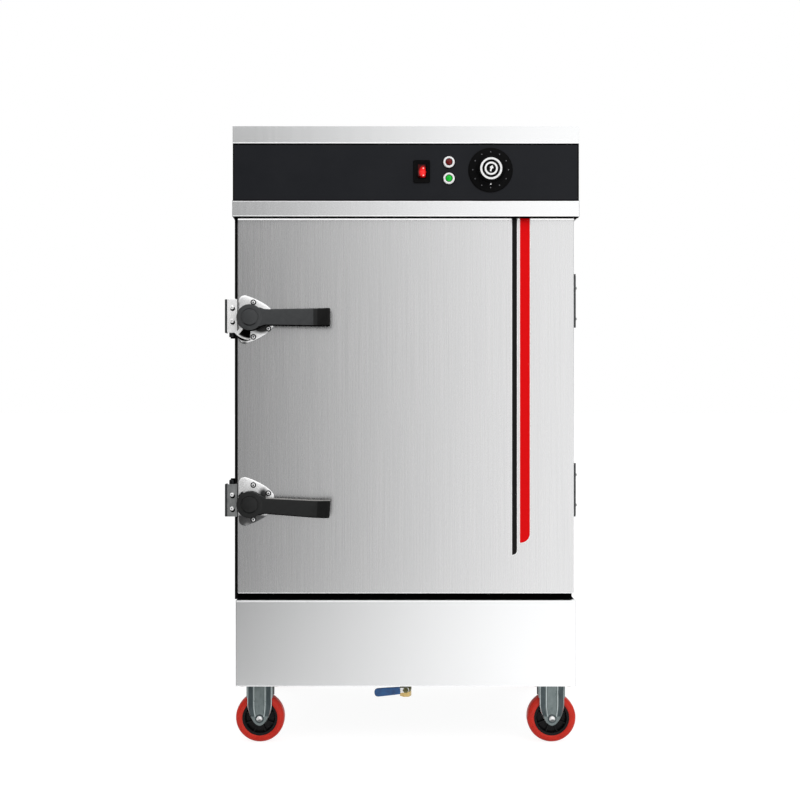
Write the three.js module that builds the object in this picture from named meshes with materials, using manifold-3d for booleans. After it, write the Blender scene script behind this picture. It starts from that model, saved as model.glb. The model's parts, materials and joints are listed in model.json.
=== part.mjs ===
// Steaming cabinet on four casters, in millimetres.
// The front faces -Y, +X is to the right and +Z is up; the floor is at z = 0.
import * as THREE from "three";
import { mergeVertices } from "three/addons/utils/BufferGeometryUtils.js";
import Module from "manifold-3d";

// Clearances and sheet
const seatGap = 0.3;
const runningGap = 0.4;
const overrun = 2;
const sheet = 1.5;

// Heights, one on top of the other from the floor
const underside = 124;
const baseHeight = 174;
const gapUnderDoor = 12;
const doorHeight = 761.2;
const gapOverDoor = 1.8;
const headHeight = 183;

// Widths and depths
const headWidth = 700;
const bodyInset = 7;
const doorInset = 1.7;
const cabinetDepth = 600;
const doorSetback = 12;
const doorThickness = 42;
const sealThickness = 3.4;
const sillFold = 14;
const sealInset = 0.5;
const frameBelowSill = 14;
const sealBelowSill = 10;

// Steam chamber and its insulation
const marginBelowMouth = 32;
const marginAboveMouth = 31.2;
const sideInsulation = 29;
const rearInsulation = 36;
const mouthLip = 28;
const chassisThickness = 3;
const sealLip = 2;
const lipClearance = 0.6;
const lipSetback = 1.5;
const lipProud = 4.3;

// Water tank
const tankDepth = 110;
const tankSideLand = 14;
const tankEndLand = 10;

// Control strip and the bands above and below it
const lowerBand = 33;
const stripHeight = 115;
const stripThickness = 1.5;
const stripSetback = 0.2;
const stripEnd = 0.5;

// Rocker switch
const switchSpacing = 55;
const switchHeight = 91;
const bezelWidth = 34;
const bezelHeight = 46;
const bezelThickness = 3;
const switchBodyWidth = 26;
const switchBodyHeight = 38;
const switchBodyDepth = 28;
const pocketWidth = 16.5;
const pocketHeight = 28;
const pocketDepth = 14;
const rockerWidth = 15.5;
const rockerHeight = 24;
const rockerValley = 7.5;
const rockerTip = 10.5;
const rockerBack = 4;
const rockerFoot = 19;
const rockerTilt = THREE.MathUtils.degToRad(10);
const trunnionRadius = 1.5;
const trunnionLength = 20;

// Indicator lamps
const lampSpacing = 84;
const powerLampHeight = 110;
const workLampHeight = 77;
const lampRingRadius = 11.5;
const lampRingThickness = 2.5;
const lampLensRadius = 7.2;
const lampLensDome = 4;
const lampBarrelRadius = 7.4;
const lampBarrelLength = 24;

// Timer and its knob
const timerInset = 179;
const timerHeight = 94;
const timerBodySize = 56;
const timerBodyDepth = 45;
const bushingRadius = 5.2;
const timerShaftRadius = 3;
const timerShaftLength = 18;
const skirtRadius = 45;
const skirtThickness = 3;
const skirtBevel = 2;
const knobRadius = 23;
const knobHeight = 15;
const knobBevel = 2;
const pointerWidth = 3;
const pointerHeight = 1.2;
const pointerInnerShare = 0.35;
const pointerOuterShare = 0.85;

// Contactor on the head floor
const contactorX = -100;
const contactorY = 90;
const contactorWidth = 76;
const contactorDepth = 62;
const contactorHeight = 48;
const coilWidth = 52;
const coilDepth = 38;
const coilHeight = 30;

// Cable gland in the back of the head
const glandInset = 100;
const glandHeight = 60;
const glandThreadRadius = 10;
const glandNutRadius = 14;
const glandNutLength = 8;
const glandDomeLength = 14;
const glandBoreRadius = 4;
const glandLocknut = 6;

// Steam vent through the back
const ventBelowCeiling = 60;
const ventRadius = 19;
const ventBoreRadius = 17;
const ventFlangeRadius = 26;
const ventReach = 40;

// Heating element: hairpins on one flange behind the tank
const hairpinPitch = 110;
const hairpinCount = 3;
const hairpinCentreX = -70;
const hairpinBend = 20;
const elementRadius = 5;
const elementHeight = 22;
const elementFrontClearance = 70;
const elementFlangeMargin = 16;
const elementFlangeThickness = 6;
const terminalRadius = 3.5;
const terminalLength = 12;

// Float valve and its arm
const floatValveX = 200;
const floatValveDrop = 22;
const floatValveRadius = 9;
const floatNutRadius = 14;
const floatNutThickness = 8;
const inletReach = 26;
const clevisLength = 20;
const clevisEar = 4;
const clevisHeight = 14;
const eyeWidth = 5;
const eyeRadius = 6;
const floatPinRadius = 2;
const armRadius = 2.5;
const armLength = 110;
const floatRadius = 25;
const armDroop = THREE.MathUtils.degToRad(28);

// Tray racks and trays
const runnerCount = 6;
const runnerPitch = 108;
const firstRunner = 40;
const runnerWidth = 24;
const runnerThickness = 2;
const runnerEndMargin = 30;
const postSize = 8;
const postInset = 60;
const postFoot = 12;
const trayCount = 4;
const trayPlay = 2.1;
const trayLength = 400;
const trayDepth = 48;
const trayRim = 20;
const trayTaper = 12;
const traySheet = 1.2;

// Door hinges
const lowerHingeHeight = 209;
const upperHingeHeight = 595.5;
const hingeLength = 107;
const leafThickness = 4;
const leafDoorWidth = 36;
const leafBodyWidth = 38;
const knuckleRadius = 4;
const hingePinRadius = 2;

// Door latches, measured from the door's bottom and left edge
const lowerHubHeight = 182.5;
const upperHubHeight = 558.5;
const latchInset = 27.8;
const lowerLeverDroop = THREE.MathUtils.degToRad(2.5);
const plateHeight = 98;
const upperPlateShift = 3.5;
const lowerPlateShift = 6.5;
const plateLeft = 24;
const plateRight = 48;
const plateCorner = 14;
const plateThickness = 3;
const camThickness = 5;
const camRadius = 24;
const hookRadius = 44;
const hookStart = THREE.MathUtils.degToRad(228);
const hookEnd = THREE.MathUtils.degToRad(280);
const spindleRadius = 6;
const spindleReach = 10;
const hubRadius = 26.6;
const hubDepth = 24;
const capRadius = 16;
const capDepth = 1.5;
const leverLength = 162;
const leverRootHeight = 32;
const leverTipHeight = 36;
const leverThickness = 10;
const leverCurl = 34;
const leverCurlReach = 9;

// Latch strikes on the cabinet's left side
const strikeHeight = 66;
const strikeLift = 6.5;
const strikeThickness = 3;
const strikeProud = 2;
const strikeDoorGap = 0.9;
const strikeWidth = 25.5;
const strikeReturn = 28;
const strikeFoot = 50;
const rollerRadius = 8;
const rollerEnd = 10;
const rollerSink = 1;

// Drain valve and its lever
const drainSetback = 85;
const drainDrop = 22.5;
const drainStubRadius = 10.5;
const drainBoreRadius = 7;
const drainHoleRadius = 20;
const valveHexRadius = 12;
const valveBallRadius = 13;
const valveEnd = 17;
const valveHexLength = 12;
const valveBossRadius = 6.5;
const valveBossReach = 17;
const valveStemRadius = 3;
const valveStemLength = 8;
const valveNutRadius = 6;
const valveNutThickness = 4;
const valveLeverLength = 66;
const valveGripLength = 50;
const valveGripHeight = 17;
const valveGripThickness = 6;
const valveBladeHeight = 12;
const valveBladeThickness = 2.5;
const valveLeverSlant = THREE.MathUtils.degToRad(6);

// Casters
const casterSideInset = 43.5;
const casterInset = 55;
const wheelRadius = 50;
const tyreHalfWidth = 16;
const tyreShoulder = 5;
const coreRadius = 36;
const coreHalfWidth = 14;
const coreRim = 5;
const webHalfWidth = 5;
const hubHalfWidth = 15.5;
const wheelHubRadius = 13;
const axleRadius = 5;
const forkPlateLength = 84;
const forkPlateWidth = 70;
const forkPlateThickness = 3;
const forkLegGap = 17.5;
const forkLegThickness = 3;
const forkTopWidth = 50;
const forkTipRadius = 10;
const forkTipDrop = 16.5;
const forkShoulder = 18;
const boltHeadRadius = 8;
const boltHeadThickness = 5;

// Facets round a full turn
const roundSides = 16;
const smallSides = 12;
const wheelSides = 32;
const hexSides = 6;
const curveSteps = 6;
const hairpinSteps = 14;
const tubeSides = 8;

// Places that follow from the sizes
const baseTop = underside + baseHeight;
const doorBottom = baseTop + gapUnderDoor;
const doorTop = doorBottom + doorHeight;
const headBottom = doorTop + gapOverDoor;
const headTop = headBottom + headHeight;
const front = -cabinetDepth / 2;
const back = cabinetDepth / 2;
const doorFront = front + doorSetback;
const doorBack = doorFront + doorThickness;
const sealFront = doorBack + seatGap;
const sealBack = sealFront + sealThickness;
const frameFront = sealBack + seatGap;
const linerFront = frameFront + sheet + seatGap;
const headHalf = headWidth / 2;
const timerX = headHalf - timerInset;
const lampX = timerX - lampSpacing;
const switchX = lampX - switchSpacing;
const glandX = headHalf - glandInset;
const bodyHalf = headHalf - bodyInset;
const doorHalf = bodyHalf - doorInset;
const casterX = bodyHalf - casterSideInset;
const shellHalf = bodyHalf - sheet - seatGap;
const shellBack = back - sheet - seatGap;
const linerHalf = shellHalf - sideInsulation - seatGap;
const chamberHalf = linerHalf - sheet;
const linerBack = shellBack - rearInsulation - seatGap;
const chamberBack = linerBack - sheet;
const chamberBottom = doorBottom + marginBelowMouth;
const chamberTop = doorTop - marginAboveMouth;
const linerTop = chamberTop + sheet;
const linerBottom = chamberBottom - mouthLip;
const bodyTop = headBottom - seatGap;
const hubZ = { upper: doorBottom + upperHubHeight, lower: doorBottom + lowerHubHeight };
const tankTop = linerBottom - seatGap;
const tankBottom = tankTop - tankDepth;
const tankHalf = chamberHalf - tankSideLand;
const tankFront = linerFront + tankEndLand;
const tankBack = chamberBack - tankEndLand;

const wasm = await Module();
wasm.setup();

// A closed geometry as a solid that can be joined and cut.
function solid(geometry) {
  geometry.deleteAttribute("normal");
  geometry.deleteAttribute("uv");
  const merged = mergeVertices(geometry);
  return new wasm.Manifold(
    new wasm.Mesh({
      numProp: 3,
      vertProperties: merged.attributes.position.array,
      triVerts: new Uint32Array(merged.index.array),
    }),
  );
}

// The span from -half to +half.
function both(half) {
  return [-half, half];
}

// A rectangular block between three spans.
function block(x, y, z) {
  const geometry = new THREE.BoxGeometry(x[1] - x[0], y[1] - y[0], z[1] - z[0]);
  geometry.translate((x[0] + x[1]) / 2, (y[0] + y[1]) / 2, (z[0] + z[1]) / 2);
  return solid(geometry);
}

// A round bar along one axis; its centre is given in the other two axes, in X, Y, Z order.
function rod(axis, centre, radius, span, sides = roundSides) {
  const geometry = new THREE.CylinderGeometry(radius, radius, span[1] - span[0], sides);
  const middle = (span[0] + span[1]) / 2;
  if (axis === "x") geometry.rotateZ(Math.PI / 2).translate(middle, centre[0], centre[1]);
  if (axis === "y") geometry.translate(centre[0], middle, centre[1]);
  if (axis === "z") geometry.rotateX(Math.PI / 2).translate(centre[0], centre[1], middle);
  return solid(geometry);
}

// A flat outline pushed along an axis: X takes (y, z), Y takes (x, z) and Z takes (x, y).
function prism(axis, shape, span) {
  const options = { depth: span[1] - span[0], bevelEnabled: false, curveSegments: curveSteps };
  const geometry = new THREE.ExtrudeGeometry(shape, options);
  geometry.translate(0, 0, axis === "y" ? -span[1] : span[0]);
  if (axis === "x") {
    const turn = new THREE.Matrix4().makeBasis(
      new THREE.Vector3(0, 1, 0),
      new THREE.Vector3(0, 0, 1),
      new THREE.Vector3(1, 0, 0),
    );
    geometry.applyMatrix4(turn);
  }
  if (axis === "y") geometry.rotateX(Math.PI / 2);
  return solid(geometry);
}

// A straight-edged outline.
function outline(points) {
  return new THREE.Shape(points.map(([u, v]) => new THREE.Vector2(u, v)));
}

// A profile of [radius, y] points turned about the Y axis; its outer side runs towards -Y.
function turned(points, sides = roundSides) {
  const profile = points.map(([radius, y]) => new THREE.Vector2(radius, y)).reverse();
  return solid(new THREE.LatheGeometry(profile, sides));
}

function joined(shapes) {
  return shapes.reduce((whole, shape) => whole.add(shape));
}

function cut(shape, tools) {
  return tools.reduce((rest, tool) => rest.subtract(tool), shape);
}

// Finishes as colour, roughness and metalness.
const satinSteel = [0xcfd1d3, 0.38, 1];
const brushedSteel = [0xb9bbbd, 0.42, 1];
const brightSteel = [0xe2e3e5, 0.16, 1];
const zincSteel = [0x7b8484, 0.5, 0.9];
const blackGloss = [0x25262c, 0.25, 0];
const blackPlastic = [0x2c2d2f, 0.55, 0];
const blackRubber = [0x101011, 0.8, 0];
const mineralWool = [0xd9cfae, 0.95, 0];
const redPolyurethane = [0xc8281f, 0.4, 0];
const redLens = [0xd0101a, 0.15, 0];
const greenLens = [0x12b84a, 0.15, 0];
const brass = [0xb99a52, 0.3, 1];
const copper = [0xb87346, 0.3, 1];
const blueVinyl = [0x1f5fa8, 0.5, 0];

function piece(parent, name, shape, [color, roughness, metalness]) {
  const { vertProperties, triVerts } = shape.getMesh();
  const indexed = new THREE.BufferGeometry();
  indexed.setAttribute("position", new THREE.BufferAttribute(vertProperties, 3));
  indexed.setIndex(new THREE.BufferAttribute(triVerts, 1));
  const geometry = indexed.toNonIndexed();
  geometry.computeVertexNormals();
  const material = new THREE.MeshStandardMaterial({ color, roughness, metalness });
  const mesh = new THREE.Mesh(geometry, material);
  mesh.name = name;
  parent.add(mesh);
  return mesh;
}

function groupAt(parent, x, y, z) {
  const group = new THREE.Group();
  group.position.set(x, y, z);
  parent.add(group);
  return group;
}

const cabinet = new THREE.Group();

// Body shell

const ventZ = chamberTop - ventBelowCeiling;
const floatValveZ = tankTop - floatValveDrop;
const drainY = front + drainSetback;

function sidePanel(name, side) {
  const edges = [side * (bodyHalf - sheet), side * bodyHalf].sort((a, b) => a - b);
  piece(cabinet, name, block(edges, [frameFront, back], [underside, bodyTop]), satinSteel);
}
sidePanel("side_panel_left", -1);
sidePanel("side_panel_right", 1);

function backPanel() {
  const plate = block(both(shellHalf), [back - sheet, back], [underside, bodyTop]);
  const through = [back - sheet - overrun, back + overrun];
  const ventHole = rod("y", [0, ventZ], ventRadius + seatGap, through);
  const inletHole = rod("y", [floatValveX, floatValveZ], floatValveRadius + seatGap, through);
  piece(cabinet, "back_panel", cut(plate, [ventHole, inletHole]), satinSteel);
}
backPanel();

function baseFrontPanel() {
  const inside = both(bodyHalf - sheet);
  const outer = block(both(bodyHalf), [front, doorBack], [underside, baseTop]);
  const hollowY = [front + sheet, doorBack + overrun];
  const hollow = block(inside, hollowY, [underside + sheet, baseTop - sheet]);
  const slotZ = [baseTop - sheet - overrun, baseTop + overrun];
  const slot = block(inside, [front + sillFold, doorBack + overrun], slotZ);
  piece(cabinet, "base_front_panel", cut(outer, [hollow, slot]), satinSteel);
}
baseFrontPanel();

function chassisPlate() {
  const plateZ = [underside, underside + chassisThickness];
  const plate = block(both(shellHalf), [sealFront, shellBack], plateZ);
  const holeZ = [underside - overrun, underside + chassisThickness + overrun];
  const drainHole = rod("z", [0, drainY], drainHoleRadius, holeZ);
  piece(cabinet, "chassis_plate", cut(plate, [drainHole]), zincSteel);
}
chassisPlate();

function doorFrame() {
  const frameY = [frameFront, frameFront + sheet];
  const ring = block(both(shellHalf), frameY, [baseTop - frameBelowSill, bodyTop]);
  const mouthY = [frameFront - overrun, frameFront + sheet + overrun];
  const mouth = block(both(chamberHalf), mouthY, [chamberBottom, chamberTop]);
  piece(cabinet, "door_frame", cut(ring, [mouth]), satinSteel);
}
doorFrame();

function mouthSeal() {
  const outerHalf = bodyHalf - sealInset;
  const ring = block(both(outerHalf), [sealFront, sealBack], [baseTop - sealBelowSill, bodyTop]);
  const holeZ = [chamberBottom - sealLip, chamberTop + sealLip];
  const holeY = [sealFront - overrun, sealBack + overrun];
  const hole = block(both(chamberHalf + sealLip), holeY, holeZ);
  // The lip beside the door stands out from the body's side and gives way at the strikes.
  const lipX = [-bodyHalf - lipProud, -doorHalf - lipClearance];
  const lipY = [doorFront + lipSetback, sealBack];
  const lip = block(lipX, lipY, [baseTop + seatGap, bodyTop]);
  const notchX = [lipX[0] - overrun, -bodyHalf];
  const notchY = [lipY[0] - overrun, lipY[1] + overrun];
  const notches = Object.values(hubZ).map((z) => {
    const reach = strikeHeight / 2 + lipClearance;
    return block(notchX, notchY, [z + strikeLift - reach, z + strikeLift + reach]);
  });
  piece(cabinet, "mouth_seal", joined([cut(ring, [hole]), cut(lip, notches)]), blackRubber);
}
mouthSeal();

// Steam chamber

function innerLiner() {
  const outer = block(both(linerHalf), [linerFront, linerBack], [linerBottom, linerTop]);
  const inside = both(chamberHalf);
  const hollowZ = [linerBottom - overrun, chamberTop];
  const hollow = block(inside, [linerFront + sheet, chamberBack], hollowZ);
  const mouthY = [linerFront - overrun, linerFront + sheet + overrun];
  const mouth = block(inside, mouthY, [chamberBottom, chamberTop]);
  const ventY = [chamberBack - overrun, linerBack + overrun];
  const vent = rod("y", [0, ventZ], ventRadius + seatGap, ventY);
  piece(cabinet, "inner_liner", cut(outer, [hollow, mouth, vent]), satinSteel);
}
innerLiner();

function insulationJacket() {
  const outer = block(both(shellHalf - seatGap), [linerFront, shellBack], [linerBottom, bodyTop]);
  const hollowY = [linerFront - overrun, linerBack + seatGap];
  const hollowZ = [linerBottom - overrun, linerTop + seatGap];
  const hollow = block(both(linerHalf + seatGap), hollowY, hollowZ);
  const ventY = [linerBack, back];
  const vent = rod("y", [0, ventZ], ventRadius + seatGap, ventY);
  piece(cabinet, "insulation_jacket", cut(outer, [hollow, vent]), mineralWool);
}
insulationJacket();

function steamVent() {
  const flangeBack = chamberBack - seatGap;
  const flange = rod("y", [0, ventZ], ventFlangeRadius, [flangeBack - sheet, flangeBack]);
  const tube = rod("y", [0, ventZ], ventRadius, [flangeBack - sheet, back + ventReach]);
  const boreY = [flangeBack - sheet - overrun, back + ventReach + overrun];
  const bore = rod("y", [0, ventZ], ventBoreRadius, boreY);
  piece(cabinet, "steam_vent", cut(joined([flange, tube]), [bore]), satinSteel);
}
steamVent();

// Water tank with its element, float valve and drain

const drainZ = underside - drainDrop;
const elementZ = tankBottom + elementHeight;
const hairpinCentres = Array.from(
  { length: hairpinCount },
  (_, i) => hairpinCentreX + (i - (hairpinCount - 1) / 2) * hairpinPitch,
);

function waterTank() {
  const tub = block(both(tankHalf), [tankFront, tankBack], [tankBottom, tankTop]);
  const rimZ = [tankTop - sheet, tankTop];
  const rim = block(both(linerHalf), [linerFront, linerBack], rimZ);
  const hollowY = [tankFront + sheet, tankBack - sheet];
  const hollow = block(both(tankHalf - sheet), hollowY, [tankBottom + sheet, tankTop + overrun]);
  const stubZ = [drainZ + valveEnd + seatGap, tankBottom + sheet / 2];
  const stub = rod("z", [0, drainY], drainStubRadius, stubZ);
  const boreZ = [stubZ[0] - overrun, tankBottom + sheet + overrun];
  const bore = rod("z", [0, drainY], drainBoreRadius, boreZ);
  const wallY = [tankBack - sheet - overrun, tankBack + overrun];
  const legHoles = hairpinCentres.flatMap((x) =>
    both(hairpinBend).map((dx) =>
      rod("y", [x + dx, elementZ], elementRadius + seatGap, wallY, smallSides),
    ),
  );
  const valveHole = rod("y", [floatValveX, floatValveZ], floatValveRadius + seatGap, wallY);
  const open = cut(joined([tub, rim, stub]), [hollow, bore, valveHole, ...legHoles]);
  piece(cabinet, "water_tank", open, satinSteel);
}
waterTank();

// A hairpin's centre line: straight out, half a turn, and straight back.
class Hairpin extends THREE.Curve {
  constructor(x, rear, tip) {
    super();
    this.x = x;
    this.rear = rear;
    this.straight = rear - tip - hairpinBend;
  }
  getPoint(t, target = new THREE.Vector3()) {
    const along = t * (2 * this.straight + Math.PI * hairpinBend);
    const bend = along - this.straight;
    const left = this.x - hairpinBend;
    const right = this.x + hairpinBend;
    if (bend <= 0) return target.set(left, this.rear - along, elementZ);
    const angle = bend / hairpinBend;
    if (angle >= Math.PI) {
      const returned = bend - Math.PI * hairpinBend;
      return target.set(right, this.rear - this.straight + returned, elementZ);
    }
    const x = this.x - hairpinBend * Math.cos(angle);
    const y = this.rear - this.straight - hairpinBend * Math.sin(angle);
    return target.set(x, y, elementZ);
  }
}

function heatingElement() {
  const flangeFront = tankBack + seatGap;
  const flangeBack = flangeFront + elementFlangeThickness;
  const flangeHalf = elementRadius + elementFlangeMargin;
  const first = hairpinCentres[0] - hairpinBend - flangeHalf;
  const last = hairpinCentres[hairpinCount - 1] + hairpinBend + flangeHalf;
  const flangeZ = [elementZ - flangeHalf, elementZ + flangeHalf];
  const flange = block([first, last], [flangeFront, flangeBack], flangeZ);
  const sections = outline(
    Array.from({ length: tubeSides }, (_, i) => {
      const angle = (i / tubeSides) * 2 * Math.PI;
      return [elementRadius * Math.cos(angle), elementRadius * Math.sin(angle)];
    }),
  );
  const rear = flangeBack - seatGap;
  const tip = tankFront + elementFrontClearance;
  const tubes = hairpinCentres.map((x) => {
    const options = { steps: hairpinSteps, extrudePath: new Hairpin(x, rear, tip) };
    return solid(new THREE.ExtrudeGeometry(sections, options));
  });
  const studY = [flangeBack - seatGap, flangeBack + terminalLength];
  const studs = hairpinCentres.flatMap((x) =>
    both(hairpinBend).map((dx) => rod("y", [x + dx, elementZ], terminalRadius, studY, smallSides)),
  );
  piece(cabinet, "heating_element", joined([flange, ...tubes, ...studs]), copper);
}
heatingElement();

function floatValve() {
  const centre = [floatValveX, floatValveZ];
  const nutBack = tankBack - sheet - seatGap;
  const nutFront = nutBack - floatNutThickness;
  const pinY = nutFront - clevisLength;
  const stem = rod("y", centre, floatValveRadius, [nutFront, back + inletReach]);
  const innerNut = rod("y", centre, floatNutRadius, [nutFront, nutBack], hexSides);
  const outerNutY = [back + seatGap, back + seatGap + floatNutThickness];
  const outerNut = rod("y", centre, floatNutRadius, outerNutY, hexSides);
  const earInner = eyeWidth / 2 + runningGap;
  const earHalf = clevisHeight / 2;
  const ears = [-1, 1].map((side) => {
    const near = side * earInner;
    const far = side * (earInner + clevisEar);
    const earX = [Math.min(near, far) + floatValveX, Math.max(near, far) + floatValveX];
    const earY = [pinY - earHalf, nutFront + overrun];
    return block(earX, earY, [floatValveZ - earHalf, floatValveZ + earHalf]);
  });
  const pinX = [floatValveX - earInner - clevisEar / 2, floatValveX + earInner + clevisEar / 2];
  const pin = rod("x", [pinY, floatValveZ], floatPinRadius, pinX, smallSides);
  piece(cabinet, "float_valve", joined([stem, innerNut, outerNut, ...ears, pin]), brass);

  const hang = groupAt(cabinet, floatValveX, pinY, floatValveZ);
  const eyeX = both(eyeWidth / 2);
  const eye = rod("x", [0, 0], eyeRadius, eyeX, smallSides);
  const eyeHoleX = both(eyeWidth / 2 + overrun);
  const eyeHole = rod("x", [0, 0], floatPinRadius + runningGap, eyeHoleX, smallSides);
  const rodY = [-armLength, -(eyeRadius + floatPinRadius) / 2];
  const arm = rod("y", [0, 0], armRadius, rodY, smallSides);
  const ballGeometry = new THREE.SphereGeometry(floatRadius, smallSides, tubeSides);
  ballGeometry.rotateX(Math.PI / 2).translate(0, -armLength, 0);
  const lever = joined([cut(joined([eye, arm]), [eyeHole]), solid(ballGeometry)]);
  const mesh = piece(hang, "float_arm", lever, copper);
  mesh.rotation.x = armDroop;
}
floatValve();

function drainValve() {
  const valve = groupAt(cabinet, 0, drainY, drainZ);
  const outlet = rod("z", [0, 0], valveHexRadius, [-valveEnd, valveHexLength - valveEnd], hexSides);
  const inlet = rod("z", [0, 0], valveHexRadius, [valveEnd - valveHexLength, valveEnd], hexSides);
  const ballHalf = valveEnd - valveHexLength / 2;
  const ball = rod("z", [0, 0], valveBallRadius, both(ballHalf));
  const boss = rod("y", [0, 0], valveBossRadius, [-valveBossReach, 0], smallSides);
  const flow = rod("z", [0, 0], drainBoreRadius, both(valveEnd + overrun));
  const stemHoleY = [-valveBossReach - overrun, -valveBossReach + valveStemLength + seatGap];
  const stemHole = rod("y", [0, 0], valveStemRadius + runningGap, stemHoleY, smallSides);
  const body = cut(joined([outlet, inlet, ball, boss]), [flow, stemHole]);
  piece(valve, "drain_valve_body", body, brass);

  const bladeBack = -valveBossReach - seatGap;
  const bladeFront = bladeBack - valveBladeThickness;
  const bladeHalf = valveBladeHeight / 2;
  const bladeX = [-valveLeverLength + valveGripHeight / 2, bladeHalf];
  const blade = block(bladeX, [bladeFront, bladeBack], both(bladeHalf));
  const stemY = [bladeBack - valveBladeThickness / 2, -valveBossReach + valveStemLength];
  const stem = rod("y", [0, 0], valveStemRadius, stemY, smallSides);
  const nutY = [bladeFront - valveNutThickness, bladeFront + valveBladeThickness / 2];
  const nut = rod("y", [0, 0], valveNutRadius, nutY, hexSides);
  const gripHalf = valveGripHeight / 2;
  const gripShape = new THREE.Shape();
  gripShape.moveTo(-valveLeverLength + valveGripLength, gripHalf);
  gripShape.lineTo(-valveLeverLength + gripHalf, gripHalf);
  gripShape.absarc(-valveLeverLength + gripHalf, 0, gripHalf, Math.PI / 2, (3 * Math.PI) / 2);
  gripShape.lineTo(-valveLeverLength + valveGripLength, -gripHalf);
  const gripMiddle = (bladeFront + bladeBack) / 2;
  const gripY = [gripMiddle - valveGripThickness / 2, gripMiddle + valveGripThickness / 2];
  const grip = prism("y", gripShape, gripY);
  const lever = piece(valve, "drain_valve_lever", joined([blade, stem, nut, grip]), blueVinyl);
  lever.rotation.y = -valveLeverSlant;
}
drainValve();

// Racks and trays

const runnerBottom = chamberBottom + firstRunner;
const rackOuter = chamberHalf - seatGap;
const chamberFront = linerFront + sheet;
const runnerY = [chamberFront + runnerEndMargin, chamberBack - runnerEndMargin];

function trayRack(name, side) {
  const spanX = (inner, outer) => [side * inner, side * outer].sort((a, b) => a - b);
  const runners = Array.from({ length: runnerCount }, (_, i) => {
    const top = runnerBottom + i * runnerPitch;
    return block(spanX(rackOuter - runnerWidth, rackOuter), runnerY, [top - runnerThickness, top]);
  });
  const postZ = [
    runnerBottom - runnerThickness - postFoot,
    runnerBottom + (runnerCount - 1) * runnerPitch + postFoot,
  ];
  const postStarts = [runnerY[0] + postInset, runnerY[1] - postInset - postSize];
  const posts = postStarts.map((y) =>
    block(spanX(rackOuter - postSize, rackOuter), [y, y + postSize], postZ),
  );
  piece(cabinet, name, joined([...runners, ...posts]), satinSteel);
}
trayRack("tray_rack_left", -1);
trayRack("tray_rack_right", 1);

// A block whose lower face is drawn in by the same amount on every side.
function tub(halfX, halfY, bottom, top, taper) {
  const geometry = new THREE.BoxGeometry(2 * halfX, 2 * halfY, top - bottom);
  geometry.translate(0, 0, (top + bottom) / 2);
  const position = geometry.attributes.position;
  for (let i = 0; i < position.count; i += 1) {
    if (position.getZ(i) > (top + bottom) / 2) continue;
    position.setX(i, position.getX(i) - Math.sign(position.getX(i)) * taper);
    position.setY(i, position.getY(i) - Math.sign(position.getY(i)) * taper);
  }
  return solid(geometry);
}

function tray(level) {
  const middleY = (runnerY[0] + runnerY[1]) / 2;
  const place = groupAt(cabinet, 0, middleY, runnerBottom + level * runnerPitch + seatGap);
  const halfX = rackOuter - postSize - trayPlay;
  const halfY = trayLength / 2;
  const rim = block(both(halfX), both(halfY), [0, traySheet]);
  const wallX = halfX - trayRim;
  const wallY = halfY - trayRim;
  const outer = tub(wallX, wallY, traySheet - trayDepth, traySheet, trayTaper);
  const floorTop = 2 * traySheet - trayDepth;
  const mouth = block(both(wallX - traySheet), both(wallY - traySheet), [0, traySheet + overrun]);
  const inner = tub(wallX - traySheet, wallY - traySheet, floorTop, traySheet, trayTaper);
  piece(place, `tray_${level + 1}`, cut(joined([rim, outer]), [inner, mouth]), satinSteel);
}
for (let level = 0; level < trayCount; level += 1) tray(level);

// Head

const stripBottom = headBottom + lowerBand;
const stripTop = stripBottom + stripHeight;
const stripFront = front + stripSetback;
const stripBack = stripFront + stripThickness;
const recessFace = stripBack + seatGap;
const wallBack = recessFace + sheet;
const switchZ = headBottom + switchHeight;
const timerZ = headBottom + timerHeight;
const lampHeights = { power_lamp: powerLampHeight, work_lamp: workLampHeight };

// The holes that the controls pass through, cut alike in the strip and in the wall behind it.
function controlHoles() {
  const through = [front - overrun, wallBack + overrun];
  const switchHole = block(
    [switchX - switchBodyWidth / 2 - seatGap, switchX + switchBodyWidth / 2 + seatGap],
    through,
    [switchZ - switchBodyHeight / 2 - seatGap, switchZ + switchBodyHeight / 2 + seatGap],
  );
  const lampHoles = Object.values(lampHeights).map((height) =>
    rod("y", [lampX, headBottom + height], lampBarrelRadius + seatGap, through),
  );
  const timerHole = rod("y", [timerX, timerZ], bushingRadius + seatGap, through);
  return [switchHole, ...lampHoles, timerHole];
}

function headShell() {
  const outer = outline([
    [front, headBottom],
    [back, headBottom],
    [back, headTop],
    [front, headTop],
    [front, stripTop],
    [recessFace, stripTop],
    [recessFace, stripBottom],
    [front, stripBottom],
  ]);
  const inner = outline([
    [front + sheet, headBottom - overrun],
    [back - sheet, headBottom - overrun],
    [back - sheet, headTop - sheet],
    [front + sheet, headTop - sheet],
    [front + sheet, stripTop + sheet],
    [wallBack, stripTop + sheet],
    [wallBack, stripBottom - sheet],
    [front + sheet, stripBottom - sheet],
  ]);
  const shell = prism("x", outer, both(headHalf));
  const hollow = prism("x", inner, both(headHalf - sheet));
  const glandY = [back - sheet - overrun, back + overrun];
  const glandCentre = [glandX, headBottom + glandHeight];
  const glandHole = rod("y", glandCentre, glandThreadRadius + seatGap, glandY);
  piece(cabinet, "head_shell", cut(shell, [hollow, glandHole, ...controlHoles()]), satinSteel);
}
headShell();

function headFloor() {
  const floorX = both(headHalf - sheet - seatGap);
  const floorY = [front + sheet + seatGap, back - sheet - seatGap];
  piece(cabinet, "head_floor", block(floorX, floorY, [headBottom, headBottom + sheet]), zincSteel);
}
headFloor();

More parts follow.
